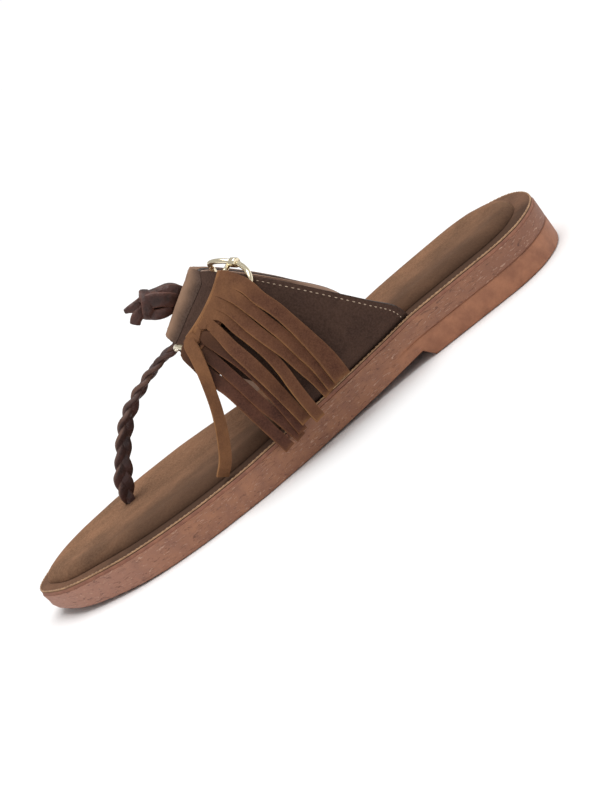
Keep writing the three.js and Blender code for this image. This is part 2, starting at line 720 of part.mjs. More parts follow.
// Three flat strands that cross by turns. The plait lies flat on the foot, turns edge-on to stand
// between the toes, and is drawn together where it goes into the footbed.
function makeThong() {
  const places = thongRoute.map((place) => new THREE.Vector3(...place));
  const route = new THREE.CatmullRomCurve3(places, false, 'centripetal');
  const length = route.getLength();
  const steps = Math.round((length / braidPitch) * braidStepsPerPitch);
  const frames = Array.from({ length: steps + 1 }, (_, i) => {
    const t = i / steps;
    const tangent = route.getTangentAt(t);
    const untwisted = THREE.MathUtils.smoothstep(t, braidTurn.from, braidTurn.to);
    const turn = THREE.MathUtils.degToRad(braidTurn.angle) * (1 - untwisted);
    const wide = sideways.clone().applyAxisAngle(tangent, -turn);
    const raised = wide.clone().cross(tangent).normalize();
    const end = THREE.MathUtils.smoothstep(t * length, 0, braidEnd.length);
    const spread = THREE.MathUtils.lerp(braidEnd.spread, 1, end);
    return { centre: route.getPointAt(t), wide, raised, spread };
  });
  const strand = (number) => {
    const path = frames.map(({ centre, wide, raised, spread }, i) => {
      const phase = (2 * Math.PI * i * length) / (steps * braidPitch) + (2 * Math.PI * number) / 3;
      const point = centre.clone().addScaledVector(wide, spread * strandSwing * Math.sin(phase));
      return point.addScaledVector(raised, strandLift * Math.sin(2 * phase));
    });
    return sweptBar(path, strandHalfWidth, strandHalfThickness, 6, frames.map((frame) => frame.wide));
  };
  return joined([0, 1, 2].map(strand));
}

function makeKnot() {
  const lumps = knotLumps.map(({ x, y, z, halfX, halfY, halfZ, turn }) => {
    const lump = new THREE.SphereGeometry(1, 12, 8);
    lump.scale(halfX, halfY, halfZ);
    lump.rotateX(THREE.MathUtils.degToRad(turn));
    lump.translate(x, y, z);
    return weldedSolid(lump);
  });
  const from = new THREE.Vector3(knotTail.x, knotTail.fromY, knotTail.fromZ);
  const ends = tailTips.map(({ x, y, z }) => {
    const along = new THREE.Vector3(x, y, z).sub(from);
    const length = along.length();
    const end = new THREE.CylinderGeometry(knotTail.tipRadius, knotTail.radius, length, 8);
    end.translate(0, length / 2, 0);
    end.applyQuaternion(new THREE.Quaternion().setFromUnitVectors(cylinderAxis, along.normalize()));
    end.translate(from.x, from.y, from.z);
    return weldedSolid(end);
  });
  return joined([...lumps, ...ends]);
}

// Colours and finish of each piece
const finishes = {
  outsole: { color: 0x8c5f4b, roughness: 0.7 },
  footbed_cover: { color: 0x5c4232, roughness: 0.95 },
  insole_pad: { color: 0x6e4e37, roughness: 0.95 },
  upper: { color: 0x5a463a, roughness: 0.95 },
  fringe: { color: 0x7d5234, roughness: 0.95 },
  buckle_frame: { color: 0xdccda0, roughness: 0.25, metalness: 1 },
  buckle_bar: { color: 0xdccda0, roughness: 0.25, metalness: 1 },
  braided_thong: { color: 0x4b3732, roughness: 0.8 },
  thong_knot: { color: 0x4b3732, roughness: 0.8 },
};

const rootCutter = bandCutter();
const postHole = postHoleCutter();
const pieces = {
  outsole: makeSole(),
  footbed_cover: makeCover([rootCutter, postHole]),
  insole_pad: makePad([postHole]),
  upper: makeUpper(),
  fringe: makeFringe(),
  buckle_frame: loopBar(wireRadius, frameSteps.wire),
  buckle_bar: makeBuckleBar(),
  braided_thong: makeThong(),
  thong_knot: makeKnot(),
};

const sandal = new THREE.Group();
for (const [name, geometry] of Object.entries(pieces)) {
  const mesh = new THREE.Mesh(geometry, new THREE.MeshStandardMaterial(finishes[name]));
  mesh.name = name;
  sandal.add(mesh);
}

// The origin is the middle of the shoe's box, on the floor
const box = new THREE.Box3().setFromObject(sandal);
sandal.position.x = -(box.min.x + box.max.x) / 2;

export default sandal;
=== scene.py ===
from functools import lru_cache
from math import acos, copysign, cos, exp, hypot, pi, radians, sin, sqrt

import bmesh
import bpy
from mathutils import Matrix, Vector


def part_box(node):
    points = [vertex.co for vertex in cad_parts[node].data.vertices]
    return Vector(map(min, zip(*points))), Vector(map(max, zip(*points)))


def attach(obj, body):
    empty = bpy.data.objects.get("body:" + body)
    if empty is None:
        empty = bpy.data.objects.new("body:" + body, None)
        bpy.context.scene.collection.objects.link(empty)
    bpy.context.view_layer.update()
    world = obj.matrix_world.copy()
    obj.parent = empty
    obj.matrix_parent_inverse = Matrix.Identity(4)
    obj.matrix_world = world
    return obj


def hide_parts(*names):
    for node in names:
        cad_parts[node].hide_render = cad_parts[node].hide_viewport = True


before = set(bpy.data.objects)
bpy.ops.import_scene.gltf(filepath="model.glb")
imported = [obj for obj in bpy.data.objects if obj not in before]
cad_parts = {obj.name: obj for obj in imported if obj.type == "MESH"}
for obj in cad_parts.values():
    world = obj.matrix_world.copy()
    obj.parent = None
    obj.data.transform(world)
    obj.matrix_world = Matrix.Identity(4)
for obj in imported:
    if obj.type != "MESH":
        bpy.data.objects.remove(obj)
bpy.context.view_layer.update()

# Worked out in millimetres in the shoe's own frame: toe at -Y, outer side at +X, floor at Z 0.
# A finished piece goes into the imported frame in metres.
mm = 0.001
xAxis, zAxis = Vector((1, 0, 0)), Vector((0, 0, 1))
fullTurn = 2 * pi
fineSteps = 600  # straight bits in which a path is measured
weld = 1e-4  # points as near as this become one


def clamp(value, low=0.0, high=1.0):
    return min(max(value, low), high)


def lerp(a, b, t):
    return a + (b - a) * t


def ease(value, low, high):
    t = clamp((value - low) / (high - low))
    return t * t * (3 - 2 * t)


def bell(value, centre, width):
    return exp(-(((value - centre) / width) ** 2))


# Curve through the rows of a table, with no overshoot between them
def tableCurve(xs, ys):
    steps = [(ys[i + 1] - ys[i]) / (xs[i + 1] - xs[i]) for i in range(len(xs) - 1)]
    slopes = [steps[0]]
    for before, after in zip(steps, steps[1:]):
        slopes.append(0 if before * after <= 0 else 2 * before * after / (before + after))
    slopes.append(steps[-1])

    def curve(x):
        i = next((k for k in range(1, len(xs)) if x <= xs[k]), len(xs) - 1)
        span = xs[i] - xs[i - 1]
        t = clamp((x - xs[i - 1]) / span)
        low = (1 - t) ** 2 * (ys[i - 1] * (1 + 2 * t) + slopes[i - 1] * span * t)
        return low + t * t * (ys[i] * (3 - 2 * t) - slopes[i] * span * (1 - t))

    return curve


# Smooth path through given points, t from 0 to 1
def splineThrough(places, closed=False):
    points = [Vector(place) for place in places]
    count = len(points)

    def at(t):
        p = clamp(t) * (count if closed else count - 1)
        i = int(p)
        if not closed and i >= count - 1:
            i = count - 2
        weight = p - i
        if closed:
            four = [points[(i + k) % count] for k in (-1, 0, 1, 2)]
        else:
            first = points[i - 1] if i > 0 else points[0] * 2 - points[1]
            last = points[i + 2] if i + 2 < count else points[-1] * 2 - points[-2]
            four = [first, points[i], points[i + 1], last]
        gaps = [max(sqrt((b - a).length), 1e-4) for a, b in zip(four, four[1:])]
        a, b, c, d = four
        into = ((b - a) / gaps[0] - (c - a) / (gaps[0] + gaps[1]) + (c - b) / gaps[1]) * gaps[1]
        out = ((c - b) / gaps[1] - (d - b) / (gaps[1] + gaps[2]) + (d - c) / gaps[2]) * gaps[1]
        bend = (c - b) * 3 - into * 2 - out
        twist = (b - c) * 2 + into + out
        return b + into * weight + bend * weight ** 2 + twist * weight ** 3

    return at


# Even steps along a path, and its length
def evenPoints(path, count, closed=False):
    fine = [path(i / fineSteps) for i in range(fineSteps + 1)]
    lengths = [0.0]
    for a, b in zip(fine, fine[1:]):
        lengths.append(lengths[-1] + (b - a).length)
    spots, k = [], 0
    for i in range(count):
        goal = lengths[-1] * i / (count if closed else count - 1)
        while k < fineSteps - 1 and lengths[k + 1] < goal:
            k += 1
        share = (goal - lengths[k]) / max(lengths[k + 1] - lengths[k], 1e-9)
        spots.append(fine[k].lerp(fine[k + 1], share))
    return spots, lengths[-1]


# The way a line of points runs at one of them
def wayAt(points, i):
    return points[min(i + 1, len(points) - 1)] - points[max(i - 1, 0)]


# The last: plan outline, rim height and underside of the sole, as the solids have them
outline = {
    "y": (-128, -124.5, -115.6, -102, -86, -68, -50, -33, -17, 0, 25, 50, 75, 96, 109, 118, 124, 128),
    "lateral": (-3.7, 6.9, 19.5, 29.7, 38, 42.6, 44.5, 44.3, 42.2, 39.6, 36.5, 34.6, 34.1, 33.6, 30.3, 23.7,
                15.4, -1.1),
    "medial": (-3.7, -14.6, -25.4, -34.8, -40.8, -44.2, -44.6, -41.5, -36.1, -32, -29.1, -28.9, -31, -32.6,
               -30.2, -24.2, -17.4, -1.1),
}
rim = {"y": (-128, -95, -47, -15, 15, 40, 60, 128), "z": (13.6, 13.9, 13.9, 14.6, 15.9, 17.7, 19.4, 20.4)}
underside = {"y": (-128, -110, -90, -68, -12, 5, 31, 52.4), "z": (4, 1.6, 0.6, 0, 0, 0.6, 2.2, 4.4)}
heelBreastY, breastFrontY = 56, 52.4
coverThickness, boardGap = 1.8, 0.3
halfLength = 128
soleSteps = 96  # steps from toe to heel
cornerClear = 0.012  # an even step as near to a corner of the breast as this, in radians, gives way to it
angleNudge = 0.01


def stationAngle(y):
    return acos(clamp(-y / halfLength, -1, 1))


outlineAngles = [stationAngle(y) for y in outline["y"]]
lateralEdge = tableCurve(outlineAngles, outline["lateral"])
medialEdge = tableCurve(outlineAngles, outline["medial"])
rimHeight = tableCurve(rim["y"], rim["z"])
archHeight = tableCurve(underside["y"], underside["z"])


def soleTop(y):
    return rimHeight(y) - coverThickness - boardGap


def floorHeight(station):
    return 0 if station >= heelBreastY - 0.01 else archHeight(station)


# Angles round the sole from the toe along the outer side to the heel and back, with the breast's corners
def ringAngles(steps):
    corners = [stationAngle(breastFrontY), stationAngle(heelBreastY)]
    even = [pi * i / steps for i in range(steps + 1)]
    half = sorted([a for a in even if min(abs(a - c) for c in corners) > cornerClear] + corners)
    return half + [fullTurn - a for a in reversed(half[1:-1])]


def outlinePoint(angle):
    side = lateralEdge(angle) if angle <= pi else medialEdge(fullTurn - angle)
    return Vector((side, -halfLength * cos(angle)))


# A point moved in from the outline; height(y, station) says how high it lies
def outlineAt(angle, inset, height):
    point = outlinePoint(angle)
    along = outlinePoint((angle + angleNudge) % fullTurn) - outlinePoint((angle - angleNudge) % fullTurn)
    along.normalize()
    depth = inset(point.y) if callable(inset) else inset
    x, y = point.x - along.y * depth, point.y + along.x * depth
    return Vector((x, y, height(y, point.y)))


angles = ringAngles(soleSteps)
halfRing = len(angles) // 2


def soleRing(inset, height):
    return [outlineAt(a, inset, height) for a in angles]


soleLow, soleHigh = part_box("outsole")
shiftX = (soleLow.x + soleHigh.x) / 2 / mm - (max(outline["lateral"]) + min(outline["medial"])) / 2
intoFrame = Matrix.Scale(mm, 4) @ Matrix.Translation((shiftX, 0, 0))
print("last: sole moved", round(shiftX, 2), "mm into the frame")


# Rings of points: the first is a circle, each next one is extruded from the one before
def firstRing(bm, places):
    ring = bmesh.ops.create_circle(bm, segments=len(places), radius=1)["verts"]
    for vert, place in zip(ring, places):
        vert.co = place
    return ring


def ringEdges(bm, ring):
    return [bm.edges.get((ring[i - 1], ring[i])) for i in range(len(ring))]


def nextRing(bm, ring, places):
    made = bmesh.ops.extrude_edge_only(bm, edges=ringEdges(bm, ring))["geom"]
    fresh = {item for item in made if isinstance(item, bmesh.types.BMVert)}
    after = []
    for vert, place in zip(ring, places):
        new = next(e.other_vert(vert) for e in vert.link_edges if e.other_vert(vert) in fresh)
        new.co = place
        after.append(new)
    return after


def stackRings(bm, layers):
    rings = [firstRing(bm, layers[0])]
    for places in layers[1:]:
        rings.append(nextRing(bm, rings[-1], places))
    return rings


def closeEnds(bm, rings):
    for ring in (rings[0], rings[-1]):
        bmesh.ops.edgeloop_fill(bm, edges=ringEdges(bm, ring), mat_nr=0)


# The faces between two neighbouring rings
def wallFaces(bm, ringA, ringB):
    count = len(ringA)
    pairs = [(k, (k + 1) % count) for k in range(count)]
    return [bm.faces.get((ringA[k], ringA[n], ringB[n], ringB[k])) for k, n in pairs]


coverFade = (4, 40)  # a cover's lift dies out at toe and heel, between these widths of the sole


# A face of the sole's form across a ring, from the outer edge to the inner one
def coverRing(bm, ring, columns, lift=lambda share, place: 0):
    corners = [vert.co.copy() for vert in ring]
    grid = bmesh.ops.create_grid(bm, x_segments=columns, y_segments=halfRing, size=1)["verts"]
    for vert in grid:
        share = (vert.co.x + 1) / 2
        k = round((vert.co.y + 1) / 2 * halfRing)
        place = corners[k].lerp(corners[-k], share)
        fade = ease((corners[k] - corners[-k]).length, *coverFade)
        vert.co = place + zAxis * lift(share, place) * fade
    bmesh.ops.remove_doubles(bm, verts=bm.verts, dist=weld)


# Points of an oval section; with square below 1 it goes towards a rectangle with soft corners
def oval(halfWide, halfThick, sides=10, square=1.0):
    points = []
    for k in range(sides):
        turn = fullTurn * (k + 0.5) / sides
        c, s = cos(turn), sin(turn)
        wide, thick = copysign(abs(c) ** square, c), copysign(abs(s) ** square, s)
        points.append((halfWide * wide, halfThick * thick))
    return points


# A bar along a path, with a section of (wide, thick) points and a hint of the wide direction for each place
def sweep(bm, path, hints, sections, closed=False):
    count = len(path)
    layers = []
    for i, point in enumerate(path):
        before = path[i - 1] if i or closed else path[0]
        after = path[(i + 1) % count] if i < count - 1 or closed else path[-1]
        along = (after - before).normalized()
        thick = along.cross(hints[i]).normalized()
        wide = thick.cross(along)
        layers.append([point + wide * w + thick * t for w, t in sections[i]])
    if closed:
        layers.append(layers[0])
    rings = stackRings(bm, layers)
    if closed:
        bmesh.ops.remove_doubles(bm, verts=rings[0] + rings[-1], dist=weld)
    else:
        closeEnds(bm, rings)
    return rings


# A stitch is a small flattened bead
def addStitch(bm, spot, along, up, size):
    length, width, height = size
    side = up.cross(along).normalized()
    up = along.cross(side)
    turn = Matrix((along * length / 2, side * width / 2, up * height / 2)).transposed().to_4x4()
    place = Matrix.Translation(spot) @ turn
    bmesh.ops.create_uvsphere(bm, u_segments=6, v_segments=4, radius=1, matrix=place)


def addObject(name, data):
    made = bpy.data.objects.new(name, data)
    bpy.context.scene.collection.objects.link(made)
    return made


def addMesh(name, bm, finishes):
    mesh = bpy.data.meshes.new(name)
    bm.to_mesh(mesh)
    bm.free()
    for finish in finishes:
        mesh.materials.append(finish)
    return addObject(name, mesh)


# Closes a piece: into the frame, onto the shoe, shaded smooth up to its sharp edges
def addPiece(name, bm, finishes, node=None, sharp=42):
    bmesh.ops.recalc_face_normals(bm, faces=bm.faces)
    bmesh.ops.transform(bm, matrix=intoFrame, verts=bm.verts)
    for edge in bm.edges:
        edge.smooth = len(edge.link_faces) != 2 or edge.calc_face_angle(0) < radians(sharp)
    for face in bm.faces:
        face.smooth = True
    piece = addMesh(name, bm, finishes)
    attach(piece, "root")
    if node:
        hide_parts(node)
    print(name, len(piece.data.polygons), "faces")
    return piece


# Materials
def linear(hexText):
    values = [int(hexText[i:i + 2], 16) / 255 for i in (1, 3, 5)]
    return tuple(v / 12.92 if v <= 0.04045 else ((v + 0.055) / 1.055) ** 2.4 for v in values) + (1.0,)


# Fills a node's sockets: a node or a socket is linked, a hex text becomes a linear colour
def setInputs(tree, node, values):
    for key, value in values.items():
        if isinstance(value, str):
            value = linear(value)
        if isinstance(value, bpy.types.Node):
            value = value.outputs[0]
        if isinstance(value, bpy.types.NodeSocket):
            tree.links.new(value, node.inputs[key])
        else:
            node.inputs[key].default_value = value


def addNode(tree, kind, values=None, **settings):
    node = tree.nodes.new("ShaderNode" + kind)
    for key, value in settings.items():
        setattr(node, key, value)
    setInputs(tree, node, values or {})
    return node


# A material of a kind: the kind adds its nodes at the place on the object and gives a ground colour, the
# coats laid over it, each by its share, and the shader's other values
def addMaterial(name, kind, **look):
    material = bpy.data.materials.new(name)
    material.use_nodes = True
    tree = material.node_tree
    place = addNode(tree, "TexCoord").outputs["Object"]
    colour, coats, values = kind(tree, place, look)
    for share, coat in coats:
        colour = addNode(tree, "MixRGB", {"Fac": share, "Color1": colour, "Color2": coat})
    setInputs(tree, tree.nodes["Principled BSDF"], {"Base Color": colour, **values})
    return material


def perMm(size):  # noise scale for a feature of this many millimetres
    return 1 / (size * mm)


# Noise, and its share from 0 to most as it goes from low to high
def patches(tree, place, scale, low, high, detail, rough=0.5, distort=0, most=1):
    noise = addNode(tree, "TexNoise", {"Vector": place, "Scale": scale, "Detail": detail, "Roughness": rough,
                                       "Distortion": distort})
    share = addNode(tree, "MapRange", {"Value": noise, "From Min": low, "From Max": high, "To Max": most})
    return noise, share


# Split suede: a short matt nap that scatters light at the rim of a form and shows brushed patches
def suede(tree, place, look):
    drawn = addNode(tree, "Mapping", {"Vector": place, "Scale": (1, 1 / look.get("stretch", 1), 1)})
    patch, patchShare = patches(tree, drawn, perMm(look["patch"]), 0.34, 0.68, 4, rough=0.62)
    nap, napShare = patches(tree, place, perMm(look["nap"]), 0.36, 0.66, 3, rough=0.7, most=0.5)
    coats = [(patchShare, look["base"]), (napShare, look["pale"])]
    if "shade" in look:  # painted shade: darker towards one side, on the footbed and its rim towards the outer side, on the lower ply towards its strips' tops under the upper ply
        spot = addNode(tree, "SeparateXYZ", {"Vector": place})
        reach = look.get("wander", 20) * mm
        wander = addNode(tree, "Math", {0: patch, 1: -reach, 2: reach / 2}, operation="MULTIPLY_ADD")
        leaning = {0: spot.outputs["Y"], 1: look["lean"], 2: wander}
        turned = addNode(tree, "Math", leaning, operation="MULTIPLY_ADD")
        across = addNode(tree, "Math", {0: spot.outputs["X"], 1: turned}, operation="ADD")
        start, stop = look["shadeFrom"] * mm, look["shadeTo"] * mm
        limits = {"Value": across, "From Min": start, "From Max": stop, "To Max": look["shade"]}
        side = addNode(tree, "MapRange", limits, interpolation_type="SMOOTHSTEP")
        coats.append((side, look["shaded"]))
    if "worn" in look:  # cut edges and rubbed folds, and a painted highlight on the crest of the fringe's fold, set on the points as an attribute
        wearAndHighlight = addNode(tree, "Attribute", attribute_name="wearAndHighlight")
        broken = addNode(tree, "MapRange", {"Value": patch, "From Min": 0.3, "From Max": 0.6, "To Min": 0.55})
        share = addNode(tree, "Math", {0: wearAndHighlight.outputs["Fac"], 1: broken}, operation="MULTIPLY")
        coats.append((share, look["worn"]))
    soft = addNode(tree, "Bump", {"Height": patch, "Strength": 0.35, "Distance": 0.5 * mm})
    fine = addNode(tree, "Bump", {"Height": nap, "Strength": 0.5, "Distance": 0.35 * mm, "Normal": soft})
    values = {"Normal": fine, "Roughness": 0.95, "Specular IOR Level": 0.15, "Sheen Roughness": 0.45,
              "Sheen Weight": look.get("sheen", 0.3), "Sheen Tint": look["pale"]}
    return look["dark"], coats, values


# Where the sole's look changes: axis, from and to in millimetres, how much of it, and how it goes over
corkZones = {"heel": ("Y", 30, 56, 1, "SMOOTHSTEP"), "low": ("Z", 10.4, 9.6, 1, "LINEAR"),
             "toe": ("Y", -50, -120, 0.75, "SMOOTHSTEP"), "back": ("Y", 40, 110, 0.7, "SMOOTHSTEP")}


# Thermoplastic rubber, moulded with a cork print: a dull skin with flecks and short cracks along the sole,
# and a plain heel block below its groove
def corkRubber(tree, place, look):
    uv = addNode(tree, "UVMap", uv_map="side")  # mm along the side and up it
    shape = (1 / look["fleckLong"], 1 / look["fleckHigh"], 1)
    drawn = addNode(tree, "Mapping", {"Vector": uv, "Scale": shape})
    cloud, cloudShare = patches(tree, place, perMm(look["cloud"]), 0.34, 0.66, 5, rough=0.65)
    darkShare = patches(tree, drawn, 1, 0.585, 0.645, 4, 0.68, 1.3, look["fleckShare"])[1]
    paleShare = patches(tree, drawn, 1.35, 0.61, 0.67, 3, 0.55, 1.1, look["nickShare"])[1]
    spot = addNode(tree, "SeparateXYZ", {"Vector": place})
    zone = {}
    for key, (axis, start, stop, most, blend) in corkZones.items():
        limits = {"Value": spot.outputs[axis], "From Min": start * mm, "From Max": stop * mm, "To Max": most}
        zone[key] = addNode(tree, "MapRange", limits, interpolation_type=blend)
    plain = addNode(tree, "Math", {0: zone["heel"], 1: zone["low"]}, operation="MULTIPLY")
    printed = addNode(tree, "Math", {0: 1.0, 1: plain}, operation="SUBTRACT")
    darkOn = addNode(tree, "Math", {0: darkShare, 1: printed}, operation="MULTIPLY")
    paleOn = addNode(tree, "Math", {0: paleShare, 1: printed}, operation="MULTIPLY")
    block = addNode(tree, "MixRGB", {"Fac": cloudShare, "Color1": look["plainDull"], "Color2": look["plain"]})
    coats = [(cloudShare, look["base"]), (zone["toe"], look["toe"]), (zone["back"], look["back"]),
             (plain, block), (darkOn, look["fleck"]), (paleOn, look["nick"])]
    height = addNode(tree, "Math", {0: paleOn, 1: darkOn}, operation="SUBTRACT")
    wave = addNode(tree, "Bump", {"Height": cloud, "Strength": 0.3, "Distance": 0.6 * mm})
    bump = addNode(tree, "Bump", {"Height": height, "Strength": 0.6, "Distance": 0.25 * mm, "Normal": wave})
    return look["dull"], coats, {"Normal": bump, "Roughness": 0.62, "Specular IOR Level": 0.3}


# The same rubber under the foot: fine moulded ribs across the tread, a little scuffed
def treadRubber(tree, place, look):
    wave = {"Vector": place, "Scale": perMm(look["rib"]) / pi, "Distortion": 1.2, "Detail": 1,
            "Detail Scale": 0.6}
    ribs = addNode(tree, "TexWave", wave, bands_direction="Y")
    share = patches(tree, place, perMm(look["scuff"]), 0.35, 0.68, 5, rough=0.65)[1]
    bump = addNode(tree, "Bump", {"Height": ribs.outputs[1], "Strength": 0.8, "Distance": 0.8 * mm})
    return look["dark"], [(share, look["base"])], {"Normal": bump, "Roughness": 0.7}


# Smooth or cut leather: a tight grain with fine pores, soft gloss where it is waxed
def leather(tree, place, look):
    patch, share = patches(tree, place, perMm(look["patch"]), 0.34, 0.68, 4, rough=0.6)
    grain = addNode(tree, "TexVoronoi", {"Vector": place, "Scale": perMm(look["grain"])})
    coats = [(share, look["base"])]
    if "worn" in look:
        wearAndHighlight = addNode(tree, "Attribute", attribute_name="wearAndHighlight")
        coats.append((wearAndHighlight.outputs["Fac"], look["worn"]))
    folds = look.get("crumple", 0.1)
    crumple = addNode(tree, "Bump", {"Height": patch, "Strength": folds, "Distance": 1.2 * mm})
    bump = addNode(tree, "Bump", {"Height": grain, "Strength": 0.3, "Distance": 0.25 * mm, "Normal": crumple})
    values = {"Normal": bump, "Roughness": look["rough"], "Specular IOR Level": look.get("shine", 0.35)}
    return look["dark"], coats, values


# Zinc die-cast wire with a pale gold plating, tumbled: bright, with the finest drag marks
def goldPlate(tree, place, look):
    marks, gloss = patches(tree, place, perMm(look["mark"]), 0.35, 0.7, 4, rough=0.7, most=0.3)
    setInputs(tree, gloss, {"To Min": 0.12})
    bump = addNode(tree, "Bump", {"Height": marks, "Strength": 0.08, "Distance": 0.1 * mm})
    return look["base"], [], {"Metallic": 1.0, "Roughness": gloss, "Normal": bump}


# Spun polyester thread: matt, twisted two ply, drawn a little coarse so that the ply shows
def thread(tree, place, look):
    share = patches(tree, place, perMm(look["ply"]), 0.35, 0.65, 2)[1]
    return look["dark"], [(share, look["base"])], {"Roughness": 0.8, "Sheen Weight": 0.2}


# painted shade: the footbed grows darker towards its outer side; its patches and nap are the suede's own
padSuede = addMaterial(
    "worn suede, footbed", suede,
    base="#8a634a", dark="#684b38", pale="#a98264", patch=13, nap=0.9, sheen=0.25,
    stretch=1.7, shade=0.88, shadeFrom=-20, shadeTo=32, lean=0.07, wander=32,
    shaded="#4e392c")
# painted shade: the rim grows darker along its outer side
rimSuede = addMaterial(
    "brown suede, footbed rim", suede,
    base="#745441", dark="#5e4435", pale="#8a6852", patch=9, nap=0.8,
    shade=0.9, shadeFrom=6, shadeTo=30, lean=0.07, shaded="#463328")
strapSuede = addMaterial(
    "dark suede, strap", suede,
    base="#4b372d", dark="#392922", pale="#5c463d", patch=14, nap=0.8, sheen=0.2)
overlaySuede = addMaterial(
    "grey brown suede, overlay", suede,
    base="#554239", dark="#43342c", pale="#67544b", patch=11, nap=0.9, worn="#967761")
# its worn colour is real wear on edges and tips, and a painted highlight on the crest of the fold
fringeSuede = addMaterial(
    "tan suede, fringe", suede,
    base="#65422f", dark="#4b2e23", pale="#734e3b", patch=10, nap=0.7, worn="#aa7a4d",
    sheen=0.2)
# painted shade: the fringe's tan suede made darker for the lower ply under the upper one, and darker still
# towards its strips' tops; its pale edges are real wear
fringeUnder = addMaterial(
    "tan suede, lower ply", suede,
    base="#57372b", dark="#3e2620", pale="#684537", patch=9, nap=0.7, worn="#91623f",
    sheen=0.2, shade=0.8, shadeFrom=43, shadeTo=33, lean=0, shaded="#34231d")
strapEdge = addMaterial(
    "painted strap edge", leather,
    base="#3b2b25", dark="#2a1f1b", rough=0.6, patch=3, grain=0.8)
lining = addMaterial(
    "sheepskin lining", leather,
    base="#ad8e7a", dark="#937665", rough=0.6, patch=22, grain=0.7)
braidLeather = addMaterial(
    "waxed braid leather", leather,
    base="#593f3c", dark="#372827", rough=0.5, patch=5, grain=0.7, shine=0.4,
    worn="#7f5c49", crumple=0.7)
knotLeather = addMaterial(
    "waxed knot leather", leather,
    base="#55332c", dark="#321f1b", rough=0.5, patch=5, grain=0.7, shine=0.4,
    worn="#81594b", crumple=0.9)
soleCork = addMaterial(
    "cork print rubber", corkRubber,
    base="#a37257", dull="#8c624f", plain="#a97356", plainDull="#8f5f48", toe="#ad7f6e",
    back="#835a49", fleck="#523631", nick="#d6b09a", cloud=6, fleckLong=4.2,
    fleckHigh=0.95, fleckShare=0.6, nickShare=0.5)
soleTread = addMaterial(
    "ribbed tread rubber", treadRubber,
    base="#96644f", dark="#77503f", rib=3.2, scuff=14)
boardEdge = addMaterial(
    "board edge", leather,
    base="#a06e57", dark="#84594a", rough=0.8, patch=4, grain=0.5)
rimBeadTan = addMaterial(
    "natural leather bead", leather,
    base="#bb936f", dark="#8f6c50", rough=0.75, patch=2.5, grain=0.5)
gold = addMaterial("pale gold plating", goldPlate, base="#efe2c4", mark=1.2)
strapThread = addMaterial("beige thread, strap", thread, base="#c4ad96", dark="#a58c76", ply=0.4)
rimThread = addMaterial("tan thread, rim", thread, base="#c19d7c", dark="#9c7a5a", ply=0.4)
print("materials: done")


# Moulded sole unit: rounded tread edge, side groove round the heel, chamfered top
soleUnit = {"edge": 1.3, "undercut": 0.9, "undercutFrom": 80, "grooveFrom": 30, "grooveDepth": 0.6,
            "grooveHalf": 0.55, "grooveShare": 0.42, "chamfer": 0.4, "treadColumns": 8, "topColumns": 4,
            "girthRing": 4}
treadEdge = ((1, 0), (0.3, 0.3), (0, 1))  # inwards and up, in edge radii
sideGroove = ((-1.8, 0), (-0.9, 0.1), (0, 1), (0.9, 0.1), (1.8, 0))  # up, in half widths, and depth
topChamfer = ((0, 1), (0.3, 0.3), (1, 0))  # inwards and down


def makeSole():
    look = soleUnit
    bm = bmesh.new()
    side = bm.loops.layers.uv.new("side")  # millimetres round the sole and up it

    def draft(y):
        return look["undercut"] * ease(-y, look["undercutFrom"], halfLength)

    def heelShare(y):
        return ease(y, look["grooveFrom"], heelBreastY)

    def grooveHeight(y):
        return lerp(archHeight(min(y, breastFrontY)), soleTop(y), look["grooveShare"])

    layers = []
    for inward, up in treadEdge:
        layers.append(soleRing(lambda y: draft(y) + look["edge"] * inward,
                               lambda y, station: floorHeight(station) + look["edge"] * up))
    for up, deep in sideGroove:
        layers.append(soleRing(lambda y: draft(y) / 2 + look["grooveDepth"] * deep * heelShare(y),
                               lambda y, station: grooveHeight(y) + up * look["grooveHalf"]))
    for inward, down in topChamfer:
        layers.append(soleRing(look["chamfer"] * inward,
                               lambda y, station: soleTop(y) - look["chamfer"] * down))
    rings = stackRings(bm, layers)
    run = [0.0]
    girth = layers[look["girthRing"]]
    for a, b in zip(girth, girth[1:] + girth[:1]):
        run.append(run[-1] + (b - a).length)
    for low, high in zip(rings, rings[1:]):
        for k, face in enumerate(wallFaces(bm, low, high)):
            for loop in face.loops:
                along = run[k] if loop.vert in (low[k], high[k]) else run[k + 1]
                loop[side].uv = (along, loop.vert.co.z)
    wall = set(bm.faces)
    coverRing(bm, rings[0], look["treadColumns"])
    for face in bm.faces:
        if face not in wall:
            face.material_index = 1
    coverRing(bm, rings[-1], look["topColumns"])
    addPiece("soleUnit", bm, [soleCork, soleTread], "outsole")


# Suede-covered board that shows as the rim round the foot, with a fine leather bead stitched on its edge
rimBoard = {"inset": 0.4, "beadIn": 0.7, "beadSink": 0.14, "beadRadius": 0.32,
            "beadSides": 8, "stitchPitch": 2.1, "stitch": (1.2, 0.42, 0.3), "lowColumns": 4, "topColumns": 10}
# inwards and up from the board's lower edge
rimEdge = ((0, -0.26), (0, 1.1), (0.2, 1.58), (0.7, 1.8), (2.2, 1.8))


